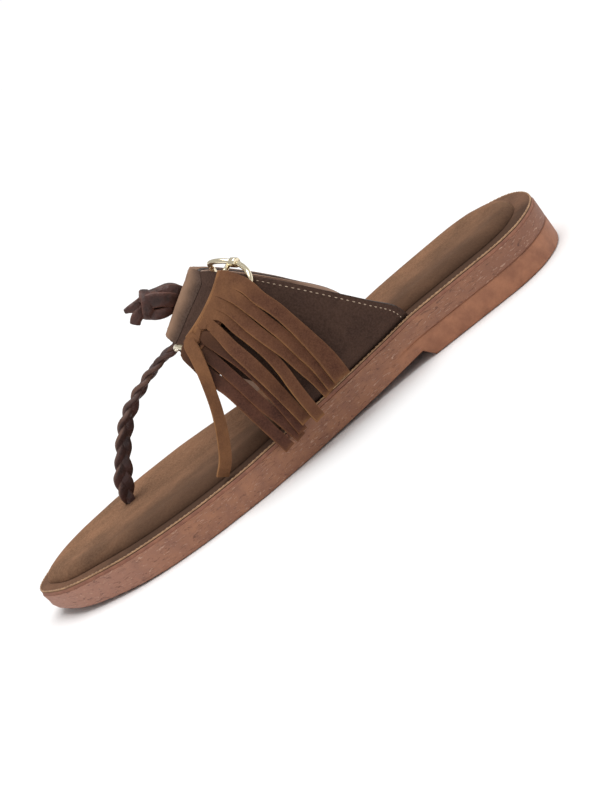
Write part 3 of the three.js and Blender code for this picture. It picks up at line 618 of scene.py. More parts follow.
def makeRim():
    look = rimBoard
    bm = bmesh.new()
    layers = []
    for inward, height in rimEdge:
        layers.append(soleRing(look["inset"] + inward, lambda y, station: soleTop(y) + boardGap + height))
    rings = stackRings(bm, layers)
    for face in wallFaces(bm, rings[0], rings[1]):
        face.material_index = 1
    coverRing(bm, rings[0], look["lowColumns"])
    coverRing(bm, rings[-1], look["topColumns"])
    addPiece("rimCover", bm, [rimSuede, boardEdge], "footbed_cover")
    bm = bmesh.new()
    line = soleRing(look["beadIn"], lambda y, station: rimHeight(y) - look["beadSink"])
    bead = oval(look["beadRadius"], look["beadRadius"], look["beadSides"])
    sweep(bm, line, [zAxis] * len(line), [bead] * len(line), closed=True)
    addPiece("rimBead", bm, [rimBeadTan])
    bm = bmesh.new()
    top = look["beadRadius"] - look["beadSink"]
    seam = splineThrough(soleRing(look["beadIn"], lambda y, station: rimHeight(y) + top), closed=True)
    count = round(evenPoints(seam, 2, True)[1] / look["stitchPitch"])
    spots = evenPoints(seam, count, True)[0]
    for i, spot in enumerate(spots):
        along = (spots[(i + 1) % count] - spots[i - 1]).normalized()
        addStitch(bm, spot, along, zAxis, look["stitch"])
    addPiece("rimStitches", bm, [rimThread])


# Padded panel: soft rolled edge, a shallow dish, drawn down a little where the thong goes in
pad = {"inset": 8.6, "height": 3.8, "gap": 0.25, "dish": 0.8, "dishPower": 1.2, "drawn": 0.5, "drawnWidth": 7,
       "thongX": -12.6, "thongY": -78, "toeFill": 3, "toeFrom": -92, "toeTo": -124, "inside": (0.05, 0.3),
       "lowColumns": 4, "topColumns": 26}
padEdge = ((-0.3, 0), (-0.1, 0.2), (0.3, 0.4), (1, 0.6), (2, 0.77), (3.4, 0.9), (5, 0.97), (7, 1.0))
padCreases = ((-34, 6, 2.5, 0.25), (-47, -5, 3, 0.2), (-20, 4, 3.5, 0.18))  # y, slant, width, depth


def makePad():
    look = pad
    bm = bmesh.new()

    def border(y):
        return look["inset"] - look["toeFill"] * ease(y, look["toeFrom"], look["toeTo"])

    layers = []
    for inward, share in padEdge:
        layers.append(soleRing(lambda y: border(y) + inward,
                               lambda y, station: rimHeight(y) + look["gap"] + look["height"] * share))
    rings = stackRings(bm, layers)

    def lift(share, place):
        around = hypot(place.x - look["thongX"], place.y - look["thongY"])
        dish = look["dish"] * (4 * share * (1 - share)) ** look["dishPower"]
        crease = sum(deep * bell(place.y, y + slant * share, wide) for y, slant, wide, deep in padCreases)
        inside = ease(min(share, 1 - share), *look["inside"])
        return -dish - (look["drawn"] * bell(around, 0, look["drawnWidth"]) + crease) * inside

    coverRing(bm, rings[0], look["lowColumns"])
    coverRing(bm, rings[-1], look["topColumns"], lift)
    piece = addPiece("footbedPad", bm, [padSuede], "insole_pad")


# The instep band: sections from the outer root over the instep to the inner root, front and rear edge of each
band = {
    "frontX": (35.5, 40.5, 43, 39.4, 27.5, 10, -6, -22, -35, -40, -37, -30),
    "frontY": (-1, -1, -3.5, -10.5, -20.5, -22.6, -21.3, -19.6, -17.8, -16.5, -16, -15.5),
    "frontZ": (14.5, 21.4, 32, 43.2, 51.5, 59.4, 62.6, 58.6, 48, 34, 22, 14.8),
    "rearX": (28.5, 35.2, 40.3, 41, 34, 18, -5, -22, -36, -42.5, -35.5, -22.8),
    "rearY": (57, 54.5, 47.5, 35, 21.5, 11.5, 2.6, 6, 17.5, 32, 44, 47.5),
    "rearZ": (19.8, 25, 34.5, 50, 65, 73, 77, 73, 60, 43, 28, 20),
    "bow": (0, 0.6, 0.8, 0.8, 1, 1, 0.6, 1, 1.6, 2, 1, 0),
    "rootInset": 5.8, "rootReach": 2, "rootSink": 1.3, "rootRows": 1.2, "axisZ": 40,
    "outerThick": 1.15, "liningTop": -1.2, "liningTrim": 0.004, "wall": 2.0, "overlayThick": 1.1,
    "overlayGap": 0.04, "columns": 44, "outerSteps": 170, "liningSteps": 150, "overlaySteps": 120,
}
bandEnd = len(band["bow"]) - 1
rowNudge, shareNudge = 0.02, 0.01
halvings = 24  # of the stretch in which a root is looked for


@lru_cache(maxsize=None)
def bandCurve(w):
    points = []
    for i in range(bandEnd + 1):
        front = Vector((band["frontX"][i], band["frontY"][i], band["frontZ"][i]))
        rear = Vector((band["rearX"][i], band["rearY"][i], band["rearZ"][i]))
        point = front + (rear - front) * w
        outward = Vector((point.x, 0, point.z - band["axisZ"])).normalized()
        if 0 < w < 1:
            point = point + outward * (band["bow"][i] * 4 * w * (1 - w))
        foot = stationAngle(point.y)
        if i == 0:
            point.x = lateralEdge(foot) - band["rootInset"]
        if i == bandEnd:
            point.x = medialEdge(foot) + band["rootInset"]
        if i in (0, bandEnd):
            point.z = soleTop(point.y) - band["rootReach"]
        points.append(point)
    return splineThrough(points)


def bandSurface(row, w):
    return bandCurve(round(w, 4))(clamp(row / bandEnd))


# At a place on the band: down towards the outer side, to the rear, and outwards
def bandFrame(row, w):
    across = (bandSurface(row - rowNudge, w) - bandSurface(row + rowNudge, w)).normalized()
    rearward = (bandSurface(row, w + shareNudge) - bandSurface(row, w - shareNudge)).normalized()
    return across, rearward, across.cross(rearward).normalized()


def bandPoint(row, w, off):
    return bandSurface(row, w) + bandFrame(row, w)[2] * off


# The row where the band comes out of the rim, on the outer or the inner side
def rootRow(w, inner):
    near, far = (bandEnd, bandEnd - band["rootRows"]) if inner else (0, band["rootRows"])
    for _ in range(halvings):
        middle = (near + far) / 2
        spot = bandSurface(middle, w)
        if spot.z > rimHeight(spot.y) - band["rootSink"]:
            far = middle
        else:
            near = middle
    return (near + far) / 2


# Where the overlay stops on the outer side, its rear corner cut off; its end is rolled, padded and rubbed
overlay = {"frontRow": 5.25, "rearRow": 5.52, "cornerStart": 0.8, "cornerCut": 0.3, "startGap": 0.03,
           "swell": 2.1, "swellAt": 0.42, "swellWide": 0.36, "roll": 1.5, "rollWide": 0.34,
           "rubbedFrom": 0.05, "rubbedTo": 0.36, "rubLoss": 0.45, "lossFrom": 0.7, "lossTo": 2}


def overlayRow(w):
    corner = max(0, (w - overlay["cornerStart"]) / (1 - overlay["cornerStart"]))
    return lerp(overlay["frontRow"], overlay["rearRow"], w) + overlay["cornerCut"] * corner


# Soft troughs and ridges that the foot and the buckle have pressed into the band: rows, and shares of its
# width, are a middle and a reach
relief = {"trough": 0.7, "troughRows": (5.1, 0.16), "troughFull": 0.15, "sag": 0.5, "sagRows": (2.2, 0.9),
          "sagShares": (0.55, 0.3), "flex": 0.4, "flexRows": (8.2, 1.6), "flexShares": (0.5, 0.4),
          "flexPerRow": 2.1, "flexSlant": 3}


def bandRelief(row, w):
    look = relief
    trough = look["trough"] * bell(row, *look["troughRows"]) * ease(w, 0, look["troughFull"])
    wave = look["flex"] * sin(row * look["flexPerRow"] + look["flexSlant"] * w)
    flex = wave * bell(row, *look["flexRows"]) * bell(w, *look["flexShares"])
    sag = look["sag"] * bell(row, *look["sagRows"]) * bell(w, *look["sagShares"])
    return flex - trough - sag


def overlayHeight(row, w):
    past = row - overlayRow(w)
    swell = overlay["swell"] * bell(past, overlay["swellAt"], overlay["swellWide"])
    roll = overlay["roll"] * (1 - ease(past, 0, overlay["rollWide"]))
    return band["overlayThick"] + swell - roll + bandRelief(row, w)


def overlayRub(row, w):
    past = row - overlayRow(w)
    kept = 1 - overlay["rubLoss"] * ease(past, overlay["lossFrom"], overlay["lossTo"])
    return ease(past, overlay["rubbedFrom"], overlay["rubbedTo"]) * kept


slit = {"row": 6.28, "w": 0.52, "long": 13.6, "wide": 9.8, "inside": 0.3}


# One layer of the band as a sheet: rows(w) gives its two ends, top and bottom(row, w) its two faces
def bandLayer(name, rows, top, bottom, steps, finishes, edgeTrim=0.0, soften=0.3, rubbed=lambda row, w: 0):
    bm = bmesh.new()
    columns = band["columns"]
    rowLayer = bm.verts.layers.float.new("bandRow")
    shareLayer = bm.verts.layers.float.new("bandShare")
    wearAndHighlight = bm.verts.layers.float.new("wearAndHighlight")
    grid = bmesh.ops.create_grid(bm, x_segments=columns, y_segments=steps, size=1)["verts"]
    rows = lru_cache(maxsize=None)(rows)
    for vert in grid:
        w = lerp(edgeTrim, 1 - edgeTrim, round((vert.co.x + 1) / 2 * columns) / columns)
        start, stop = rows(w)
        row = lerp(start, stop, (vert.co.y + 1) / 2)
        vert[rowLayer], vert[shareLayer], vert[wearAndHighlight] = row, w, rubbed(row, w)
        vert.co = bandPoint(row, w, top(row, w))
    # the thong's slit: points inside it go, the next ones move to its outline
    centre = bandPoint(slit["row"], slit["w"], top(slit["row"], slit["w"]))
    across, rearward, outward = bandFrame(slit["row"], slit["w"])
    straight = (slit["long"] - slit["wide"]) / 2

    def fromSlit(place):
        a, b = (place - centre).dot(across), (place - centre).dot(rearward)
        out = Vector((copysign(max(abs(a) - straight, 0), a), b))
        return out.length - slit["wide"] / 2, out

    near = [v for v in bm.verts if (v.co - centre).length < slit["long"]]
    inner = [v for v in near if fromSlit(v.co)[0] < -slit["inside"]]
    border = {e.other_vert(v) for v in inner for e in v.link_edges} - set(inner)
    for vert in border:
        deep, out = fromSlit(vert.co)
        out = out.normalized()
        vert.co -= (across * out.x + rearward * out.y) * deep
    bmesh.ops.delete(bm, geom=inner, context="VERTS")
    bmesh.ops.recalc_face_normals(bm, faces=bm.faces)
    outerFaces = bm.faces[:]
    made = bmesh.ops.extrude_face_region(bm, geom=outerFaces, use_keep_orig=True)["geom"]
    for vert in (g for g in made if isinstance(g, bmesh.types.BMVert)):
        row, w = vert[rowLayer], vert[shareLayer]
        vert.co += bandFrame(row, w)[2] * (bottom(row, w) - top(row, w))
    sheet = set(outerFaces) | {g for g in made if isinstance(g, bmesh.types.BMFace)}
    for face in bm.faces:
        if face not in sheet:
            face.material_index = 1
    sharp = [e for e in bm.edges if len(e.link_faces) == 2 and len({f in sheet for f in e.link_faces}) == 2]
    bmesh.ops.bevel(bm, geom=sharp, offset=soften, offset_type="OFFSET", affect="EDGES", segments=2,
                    profile=0.5, material=-1)
    addPiece(name, bm, finishes, "upper", sharp=60)


# Lines of stitches along the band: the row each starts and stops at, and its share of the band's width
strapStitch = {"pitch": 2.4, "size": (1.25, 0.42, 0.4), "lift": 0.05, "steps": 400}
overlaySeams = ((overlayRow(0.08) + 0.5, bandEnd - 0.55, 0.085), (overlayRow(0.9) + 0.5, bandEnd - 0.5, 0.93))
strapSeam = (4.7, 0.55, 0.955)
seamPoints = 12


def bandStitches(bm, start, stop, w, top):
    places = [(lerp(start, stop, k / seamPoints), w) for k in range(seamPoints + 1)]
    path = splineThrough(places)
    steps = strapStitch["steps"]
    fine = [path(i / steps) for i in range(steps + 1)]
    spots = [bandPoint(p.x, p.y, top(p.x, p.y) + strapStitch["lift"]) for p in fine]
    gone, goal = 0.0, strapStitch["pitch"] / 2
    for i in range(1, len(spots)):
        gone += (spots[i] - spots[i - 1]).length
        if gone >= goal:
            goal += strapStitch["pitch"]
            along = (spots[min(i + 2, steps)] - spots[i - 2]).normalized()
            addStitch(bm, spots[i], along, bandFrame(fine[i].x, fine[i].y)[2], strapStitch["size"])


def makeBand():
    def wholeBand(w):
        return rootRow(w, False), rootRow(w, True)

    def fromOverlay(w):
        return overlayRow(w) + overlay["startGap"], rootRow(w, True)

    def strapBottom(row, w):
        return bandRelief(row, w) - band["outerThick"]

    def overlayBottom(row, w):
        return band["overlayGap"] + bandRelief(row, w)

    bandLayer("strapOuter", wholeBand, bandRelief, strapBottom, band["outerSteps"], [strapSuede, strapEdge])
    bandLayer("strapLining", wholeBand, lambda row, w: band["liningTop"], lambda row, w: -band["wall"],
              band["liningSteps"], [lining, lining], edgeTrim=band["liningTrim"])
    bandLayer("strapOverlay", fromOverlay, overlayHeight, overlayBottom, band["overlaySteps"],
              [overlaySuede, overlaySuede], rubbed=overlayRub)
    bm = bmesh.new()
    for seam in overlaySeams:
        bandStitches(bm, *seam, overlayHeight)
    bandStitches(bm, *strapSeam, bandRelief)
    addPiece("strapStitches", bm, [strapThread])


# Fringe: a suede flap folded over the buckle's bar, both plies cut into strips
fringe = {"barFront": 4.62, "barRear": 4.97, "barBow": 0.24, "front": 0.2, "rear": 0.95, "thick": 1.3,
          "thinned": 0.8, "thinFrom": 0.8, "foldSteps": 40, "foldColumns": 26, "stripSteps": 60,
          "cup": 0.3, "wave": 0.25, "wavePace": 7, "waveApart": 1.7, "uneven": 0.04, "unevenPace": 9,
          "unevenApart": 2.3}
# the flap's middle line round the bar: down towards the outer side, and off the band's face
foldLine = ((9.6, 3.6), (7.2, 3.5), (5.2, 2.75), (3, 1.6), (0.6, 1.05), (-1.3, 1.45), (-2.35, 3.1),
            (-1.3, 4.75), (0.6, 5.2), (3, 5.0), (5, 4.6), (6.4, 4.2))
# the fold's outside is rubbed paler; at its bend a painted highlight on the crest adds to that
foldRubAndHighlight = {"outside": 0.4, "bend": 0.35, "bendAt": -2.2, "bendWide": 1.6, "ends": 0.5}
headSpots = {"upper": ((0.6, 5.22), (4.4, 5.1)), "lower": ((4.2, 2.6), (5.8, 3.2))}
# from heel to toe: ply, place on the fold, widths at the fold, halfway and at the tip, twist in degrees, how
# much the nap is rubbed all over, route
strips = (
    ("upper", 0.883, (5.9, 5.8, 7.4), 8, 0,
     ((36, 12.8, 68), (40, 14, 62.2), (44.2, 16.2, 56), (47.2, 17.8, 48), (48.4, 19.2, 39),
      (48, 20.2, 30), (47.6, 20.4, 20))),
    ("upper", 0.748, (5.7, 4.7, 4.6), 13, 0,
     ((36, 7.4, 66.4), (40, 9, 60.4), (44, 10.8, 53.4), (46.8, 12.6, 46), (47.7, 13.8, 38),
      (47.4, 15, 30), (46.6, 15.3, 19))),
    ("upper", 0.62, (5, 4.8, 4.4), 14, 0,
     ((35, 3, 64), (42, 5, 55), (45.6, 7, 48), (47.2, 9, 41), (47.2, 10.4, 33), (46.4, 12, 25),
      (45.6, 12.8, 17.8))),
    ("upper", 0.512, (4.8, 4.6, 4.6), 15, 0,
     ((33, -0.8, 64.2), (38, 0.4, 58), (42.6, 2.2, 51), (46, 3.6, 44), (48.6, 4.1, 37),
      (49.2, 3.9, 30), (48.8, 3.9, 23), (47.8, 4.4, 12.8))),
    ("upper", 0.4, (4.5, 5.4, 4.8), 13, 0,
     ((28.8, -7.2, 65.1), (35, -6, 59.4), (40, -5.4, 53.4), (45, -4, 46.5), (47.2, -2.8, 38.5),
      (47, -1.8, 29.3), (46.2, -0.4, 15))),
    ("lower", 0.39, (6, 4.8, 4), 8, 0,
     ((30, -10.4, 62), (36, -9, 56), (41, -7, 50), (45, -5.2, 42), (46, -4.4, 32),
      (45.4, -3.8, 12.5))),
    ("lower", 0.35, (5.6, 4.8, 4.6), 11, 0,
     ((28, -15, 60), (34.5, -14.2, 54.5), (40, -13, 49), (45, -11.2, 39.5), (46, -9.8, 31),
      (45.8, -8, 23), (45.2, -5.8, 10.8))),
    ("lower", 0.27, (6.4, 5.2, 4.8), 13, 0,
     ((23, -20, 60), (31, -19.8, 54.6), (37.5, -18.8, 49.5), (44, -16.2, 42), (46.4, -15, 34),
      (46.6, -14, 26), (46, -11.6, 10.5))),
    ("upper", 0.272, (6, 4.8, 5), 16, 0.25,
     ((26.5, -16.6, 63), (34, -18.2, 58.4), (39.4, -19.6, 53.8), (42.8, -21.8, 47.4),
      (43.8, -25, 38.4), (43, -29.6, 28.6), (41.6, -34.2, 21), (40.2, -38.6, 16.4))),
)
stripAcross = (-0.95, -0.78, -0.3, 0.3, 0.78, 0.95)  # places across a strip's face
stripWear = (0.4, 0.05, 0, 0, 0.02, 0.15)  # how pale the nap is there: most on the edge towards the toe
stripRub = {"heelEdge": 0.5, "toeEdge": 1.0, "tip": 0.4, "fold": 0.2}
# shares of a strip's length between which it turns outwards, twists, changes width, cups, waves and is rubbed
stripSpans = {"facing": (0.05, 0.7), "twist": (0.06, 0.35), "toMiddle": (0, 0.45), "toTip": (0.5, 1),
              "cup": (0.1, 0.5), "wave": (0.15, 0.5), "edges": (0.05, 0.2), "tip": (0.975, 1),
              "fold": (0.4, 0.1)}


def barRow(w):
    return lerp(fringe["barFront"], fringe["barRear"], w) - fringe["barBow"] * 4 * w * (1 - w)


# Places given as (down towards the outer side, off the band's face), at the bar's line on the band
def atBar(w, places):
    across, rearward, outward = bandFrame(barRow(w), w)
    origin = bandSurface(barRow(w), w)
    return [origin + across * a + outward * o for a, o in places]


def makeFold():
    bm = bmesh.new()
    wearAndHighlight = bm.verts.layers.float.new("wearAndHighlight")
    steps, columns = fringe["foldSteps"], fringe["foldColumns"]
    path = splineThrough(foldLine)
    line = [path(i / steps) for i in range(steps + 1)]
    section, worn = [], []
    for side in (1, -1):
        for i in (range(steps + 1) if side == 1 else range(steps, -1, -1)):
            ahead = wayAt(line, i).normalized()
            thin = 1 - fringe["thinned"] * ease(i / steps, fringe["thinFrom"], 1)  # under the strips
            half = fringe["thick"] / 2 * thin
            section.append((line[i].x - side * half * ahead.y, line[i].y + side * half * ahead.x))
            # painted highlight: the crest of the fold paler still
            bend = foldRubAndHighlight["bend"] * bell(line[i].x, foldRubAndHighlight["bendAt"], foldRubAndHighlight["bendWide"])
            worn.append(foldRubAndHighlight["outside"] + bend if side == 1 else 0)
    places = [lerp(fringe["front"], fringe["rear"], k / columns) for k in range(columns + 1)]
    rings = stackRings(bm, [atBar(w, section) for w in places])
    for ring, w in zip(rings, places):
        atEnd = foldRubAndHighlight["ends"] if w in (places[0], places[-1]) else 0
        for vert, share in zip(ring, worn):
            vert[wearAndHighlight] = max(share, atEnd)
    closeEnds(bm, rings)
    addPiece("fringeFold", bm, [fringeSuede], "fringe", sharp=50)


# A strip's section, cupped outwards, from the toe edge over the outer face to the heel edge and back
def stripSection(half, thick, cup):
    outer = [(u * half, thick / 2 + cup * u * u) for u in stripAcross]
    inner = [(u * half, -thick / 2 + cup * u * u) for u in reversed(stripAcross)]
    return outer + [(half, cup)] + inner + [(-half, cup)]


def makeStrips():
    look = fringe
    plies = {"upper": bmesh.new(), "lower": bmesh.new()}
    wearAndHighlight = {ply: bm.verts.layers.float.new("wearAndHighlight") for ply, bm in plies.items()}
    steps = look["stripSteps"]
    ringWear = [*stripWear, stripRub["heelEdge"], *reversed(stripWear), stripRub["toeEdge"]]
    for number, (ply, head, (top, middle, tip), twist, rubbed, route) in enumerate(strips):
        outward = bandFrame(barRow(head), head)[2]
        spots = atBar(head, headSpots[ply]) + list(route)
        path = evenPoints(splineThrough(spots), steps + 1)[0]
        hints, sections = [], []
        for i, spot in enumerate(path):
            t = i / steps
            part = {key: ease(t, *span) for key, span in stripSpans.items()}
            ahead = wayAt(path, i).normalized()
            facing = outward.lerp(xAxis, part["facing"])
            wide = facing.cross(ahead).normalized()
            out = ahead.cross(wide)
            turn = radians(twist) * part["twist"]
            hints.append(wide * cos(turn) - out * sin(turn))
            width = lerp(lerp(top, middle, part["toMiddle"]), tip, part["toTip"])
            width *= 1 + look["uneven"] * sin(look["unevenPace"] * t + look["unevenApart"] * number)
            sections.append(stripSection(width / 2, look["thick"], look["cup"] * part["cup"]))
            wave = look["wave"] * sin(look["wavePace"] * t + look["waveApart"] * number)
            path[i] = spot + out * (wave * part["wave"])
        for i, ring in enumerate(sweep(plies[ply], path, hints, sections)):
            part = {key: ease(i / steps, *stripSpans[key]) for key in ("edges", "tip", "fold")}
            ends = max(stripRub["tip"] * part["tip"], stripRub["fold"] * part["fold"], rubbed)
            for vert, share in zip(ring, ringWear):
                vert[wearAndHighlight[ply]] = max(share * part["edges"], ends)
    addPiece("fringeStripsOuter", plies["upper"], [fringeSuede], "fringe", sharp=50)
    addPiece("fringeStripsInner", plies["lower"], [fringeUnder], "fringe", sharp=50)


# Buckle: a bent wire round the strap, in rows across the band, front to rear, and off its outer face
buckle = {"wire": 1.1, "wireSteps": 220, "wireHint": (0.9, 0.1, 0.5), "collarRadius": 2.0, "collarLong": 3.6,
          "collarRows": (0.2, -0.1), "bar": 0.95, "barLift": 3.1, "barStart": 0.14, "barShort": 0.04,
          "barSteps": 30, "wireSides": 14, "barSides": 12, "collarSides": 18}
wireRows = ((5.35, 0.18, -3.8), (5.35, 0.5, -3.8), (5.42, 0.86, -3.8), (5.6, 1.02, -3.6), (5.62, 1.08, -1.2),
            (5.52, 1.1, 1.3), (5.25, 1.12, 2.2), (5, 1.12, 0.6), (4.65, 1.07, 0.9), (4.36, 0.99, 2),
            (4.2, 0.9, 1.5), (4.26, 0.7, 1.2), (4.26, 0.4, 1.15), (4.28, 0.2, 1.2), (4.6, 0.1, 1.3),
            (4.98, 0.035, 1.5), (5.2, -0.025, -0.8), (5.3, 0.03, -3.8))
collarAt = wireRows[7]
collarShape = ((-1, 0.72), (-0.94, 0.9), (-0.8, 1), (-0.3, 1), (0.3, 1), (0.8, 1), (0.94, 0.9), (1, 0.72))


def makeBuckle():
    look = buckle
    bm = bmesh.new()
    count = look["wireSteps"]
    bent = splineThrough([bandPoint(*place) for place in wireRows], closed=True)
    hint = Vector(look["wireHint"]).normalized()
    wire = oval(look["wire"], look["wire"], look["wireSides"])
    sweep(bm, evenPoints(bent, count, True)[0], [hint] * count, [wire] * count, closed=True)
    addPiece("buckleWire", bm, [gold], "buckle_frame")
    bm = bmesh.new()
    row, top, off = collarAt
    bar = []
    for i in range(look["barSteps"] + 1):
        w = lerp(look["barStart"], top - look["barShort"], i / look["barSteps"])
        drop = ease(w, fringe["rear"], top)
        bar.append(bandPoint(barRow(w), w, lerp(look["barLift"], off, drop)))
    barRadius = look["wire"] * look["bar"]
    sweep(bm, bar, [zAxis] * len(bar), [oval(barRadius, barRadius, look["barSides"])] * len(bar))
    centre = bandPoint(row, top, off)
    outer, inner = (bandPoint(row - rows, top, off) for rows in look["collarRows"])
    along = (outer - inner).normalized()
    collar = [centre + along * (t * look["collarLong"] / 2) for t, r in collarShape]
    rounds = [look["collarRadius"] * r for t, r in collarShape]
    sweep(bm, collar, [zAxis] * len(collar), [oval(r, r, look["collarSides"]) for r in rounds])
    addPiece("buckleBar", bm, [gold], "buckle_bar")


# Thong: a flat plait of three strands, flat on the foot, turned edge-on between the toes
thong = {"pitch": 24, "swing": 2.3, "lift": 0.7, "narrow": 1.1, "halfWide": 2.2, "halfThick": 1.15,
         "square": 0.55, "turn": 80, "turnFrom": 0.1, "turnTo": 0.85, "dive": 0.3, "steps": 260}
thongRoute = ((-12.6, -77.2, 13.4), (-12.6, -77.2, 18), (-12, -75, 24), (-11.4, -71, 30), (-11, -64, 38.8),
              (-10.8, -56.8, 45.6), (-10.6, -50, 49.8), (-10.4, -42, 53.2), (-10.1, -33, 56),
              (-9.8, -23, 57.4), (-9.8, -14.5, 60), (-10, -9.4, 64.6), (-10, -8.6, 67.6), (-10, -8.4, 70))
thongSpread = tableCurve((0, 3, 9, 14, 24, 40, 52, 62, 90, 140),
                         (0.1, 0.3, 0.8, 0.95, 0.72, 0.75, 0.6, 0.8, 1, 1))
strandWear = (0.5, 0.1, 0, 0, 0.1, 0.5)  # pale cut edges of a strand, half round its section
strandSides = 2 * len(strandWear)
strandRub = (1, 0.4, 0.8)  # how much of that each strand of the plait has


def makeThong():
    bm = bmesh.new()
    wearAndHighlight = bm.verts.layers.float.new("wearAndHighlight")
    look = thong
    count = look["steps"]
    route, length = evenPoints(splineThrough(thongRoute), count)
    for number, rub in enumerate(strandRub):
        path, hints, sections = [], [], []
        for i, spot in enumerate(route):
            t = i / (count - 1)
            ahead = wayAt(route, i).normalized()
            turn = radians(look["turn"]) * (1 - ease(t, look["turnFrom"], look["turnTo"]))
            wide = Matrix.Rotation(-turn, 3, ahead) @ xAxis
            raised = wide.cross(ahead).normalized()
            spread = thongSpread(length * t)
            phase = fullTurn * (length * t / look["pitch"] + number / len(strandRub))
            sideways = look["swing"] * spread * sin(phase)
            path.append(spot + wide * sideways + raised * (look["lift"] * sin(2 * phase)))
            roll = look["dive"] * cos(phase)  # each strand tips over as it dives under the next
            hints.append(wide * cos(roll) + raised * sin(roll))
            halfWide = lerp(look["narrow"], look["halfWide"], spread)
            sections.append(oval(halfWide, look["halfThick"], strandSides, look["square"]))
        for ring in sweep(bm, path, hints, sections):
            for k, vert in enumerate(ring):
                vert[wearAndHighlight] = strandWear[k % len(strandWear)] * rub
    addPiece("thongBraid", bm, [braidLeather], "braided_thong", sharp=55)


# Knot: the plait's flat strands tied round themselves and flopping forward, with two cut ends
knotStrands = (  # the way the strand faces, half width at its start and end, places
    ((1, 0.15, 0.3), 3.2, 3.2, ((-9, -8.2, 67.5), (-7.6, -8, 72), (-7, -9.8, 75.4), (-7.2, -13.2, 77.6),
                                (-8.6, -17, 78.2))),
    ((1, -0.1, 0.15), 3.3, 2.8, ((-7, -22.8, 79.2), (-5.4, -19.4, 78.8), (-4.8, -15.6, 76.6),
                                 (-5.6, -12.4, 73.8), (-8.4, -10.4, 71.6))),
    ((1, 0, -0.3), 2.4, 2.2, ((-8.6, -24, 75.2), (-6, -21.4, 73.2), (-5.4, -18, 71.8), (-6.6, -14.6, 71.4),
                              (-9, -11.6, 71.6))),
    ((0, 0.2, 1), 3, 2.8, ((-10, -7.6, 72), (-10, -8.2, 75.8), (-10.2, -10.6, 78.3), (-10.4, -15, 79.6),
                           (-10.2, -20.4, 81), (-9.6, -23.6, 80.2))),
    ((-1, 0, 0.2), 3.2, 3, ((-12, -8.8, 70.6), (-14.4, -11, 74.4), (-15, -15.5, 77), (-13.4, -21, 78.6))),
    ((-1, 0, -0.2), 2.4, 2.4, ((-12.6, -11.6, 71.8), (-15, -16, 72.8), (-14, -20, 74.4),
                               (-11.6, -23.6, 76.4))),
    ((1, 0, 0.3), 3.1, 1, ((-9, -23.6, 79.4), (-8.4, -26, 80.2), (-8.6, -28.2, 80.8), (-9.2, -30.4, 81.2))),
    ((1, 0, 0), 2.7, 2.2, ((-8.4, -24, 77.4), (-7.6, -26.6, 77.2), (-7.6, -28.6, 76.4), (-8.2, -30.2, 75))),
)
knotWrap = {"centre": (-10, -22, 78), "axis": (0, -0.75, 0.66), "radius": 4.8, "halfWide": 2.4, "slant": 0.9,
            "steps": 60}
knotCore = {"centre": (-10, -16, 75.2), "half": (3.6, 6.4, 3.2)}
knotThick, knotSquare, knotSteps = 1.4, 0.7, 40


def makeKnot():
    bm = bmesh.new()
    wearAndHighlight = bm.verts.layers.float.new("wearAndHighlight")

    def addStrap(path, hints, halves, closed=False):
        sections = [oval(half, knotThick, strandSides, knotSquare) for half in halves]
        for ring in sweep(bm, path, hints, sections, closed):
            for k, vert in enumerate(ring):
                if vert.is_valid:
                    vert[wearAndHighlight] = strandWear[k % len(strandWear)]

    for facing, start, stop, places in knotStrands:
        path = evenPoints(splineThrough(places), knotSteps)[0]
        hints = [Vector(facing).cross(wayAt(path, i)).normalized() for i in range(knotSteps)]
        addStrap(path, hints, [lerp(start, stop, i / (knotSteps - 1)) for i in range(knotSteps)])
    axis = Vector(knotWrap["axis"]).normalized()
    level = axis.cross(xAxis).normalized()
    count = knotWrap["steps"]
    loop = []
    for a in (fullTurn * i / count for i in range(count)):
        outward = (xAxis * cos(a) + level * sin(a)) * knotWrap["radius"]
        loop.append(Vector(knotWrap["centre"]) + outward + axis * (knotWrap["slant"] * sin(a)))
    addStrap(loop, [axis] * count, [knotWrap["halfWide"]] * count, closed=True)
    core = Matrix.Translation(knotCore["centre"]) @ Matrix.Diagonal(knotCore["half"]).to_4x4()
    bmesh.ops.create_uvsphere(bm, u_segments=20, v_segments=12, radius=1, matrix=core)
    addPiece("thongKnot", bm, [knotLeather], "thong_knot", sharp=55)


makeSole()
makeRim()
makePad()
makeBand()
makeFold()
makeStrips()
makeBuckle()
makeThong()
makeKnot()
print("pieces: done")

# The photo's view, rolled so that the heel is up, and closer
camera = {"azimuth": 89.45, "elevation": 14.77, "roll": 37.8, "distance": 702.84, "pxPerMm": 1.543,
          "closer": 1.6, "aim": (0, 0, 20), "offRight": 8.4, "offDown": 5.6, "imageHigh": 800, "sensor": 36,
          "nearest": 0.01}


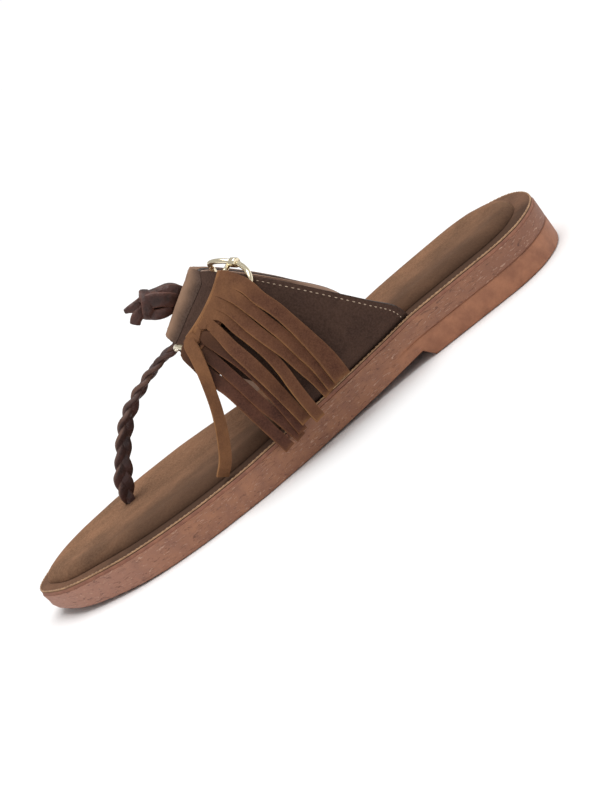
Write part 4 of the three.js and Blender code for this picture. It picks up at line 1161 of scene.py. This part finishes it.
def addCamera():
    az, el, roll = (radians(camera[k]) for k in ("azimuth", "elevation", "roll"))
    back = Vector((sin(az) * cos(el), -cos(az) * cos(el), sin(el)))
    level = Vector((cos(az), sin(az), 0))
    rise = back.cross(level)
    right = level * cos(roll) - rise * sin(roll)
    up = level * sin(roll) + rise * cos(roll)
    aim = Vector(camera["aim"]) + Vector((shiftX, 0, 0))
    eye = aim + back * camera["distance"]
    aim = aim + right * camera["offRight"] - up * camera["offDown"]
    back = (eye - aim).normalized()
    right = up.cross(back).normalized()
    up = back.cross(right)
    data = bpy.data.cameras.new("photoView")
    data.sensor_fit = "VERTICAL"
    data.sensor_height = camera["sensor"]
    pixels = camera["pxPerMm"] * camera["closer"] * camera["distance"]
    data.lens = pixels * data.sensor_height / camera["imageHigh"]
    data.clip_start = camera["nearest"]
    view = addObject("photoView", data)
    view.matrix_world = Matrix.Translation(eye * mm) @ Matrix((right, up, back)).transposed().to_4x4()
    bpy.context.scene.camera = view


# White studio: a matt floor, a dim sky that is white at the horizon, and one broad light above and behind
studio = {"floorHalf": 6, "sky": 0.5, "horizon": 1.02, "skyFrom": 0.05, "skyTo": 0.2, "sunPower": 2.1,
          "sunAngle": 50, "sunFrom": (0.02, 0.1, 1)}


# Matt white paint with the faintest cloud in it
def matWhite(tree, place, look):
    speck = addNode(tree, "TexNoise", {"Vector": place, "Scale": look["specks"], "Detail": 2})
    return look["dull"], [(speck, look["base"])], {"Roughness": 0.9}


def addStudio():
    floorPaint = addMaterial("white studio floor", matWhite, base="#fefefe", dull="#fafafa", specks=3)
    bm = bmesh.new()
    bmesh.ops.create_grid(bm, x_segments=2, y_segments=2, size=studio["floorHalf"])
    floor = addMesh("studioFloor", bm, [floorPaint])
    world = bpy.data.worlds.new("studio")
    world.use_nodes = True
    sky = world.node_tree
    way = addNode(sky, "TexCoord").outputs["Generated"]
    height = addNode(sky, "SeparateXYZ", {"Vector": way}).outputs["Z"]
    glow = addNode(sky, "MapRange", {"Value": height, "From Min": studio["skyFrom"],
                                     "From Max": studio["skyTo"], "To Min": studio["horizon"],
                                     "To Max": studio["sky"]})
    setInputs(sky, sky.nodes["Background"], {"Color": (1, 1, 1, 1), "Strength": glow})
    bpy.context.scene.world = world
    bpy.context.scene.view_settings.view_transform = "Standard"
    data = bpy.data.lights.new("broadSun", "SUN")
    data.energy = studio["sunPower"]
    data.angle = radians(studio["sunAngle"])
    sun = addObject("broadSun", data)
    sun.rotation_euler = Vector(studio["sunFrom"]).to_track_quat("Z", "Y").to_euler()


addCamera()
addStudio()
print("studio: done")
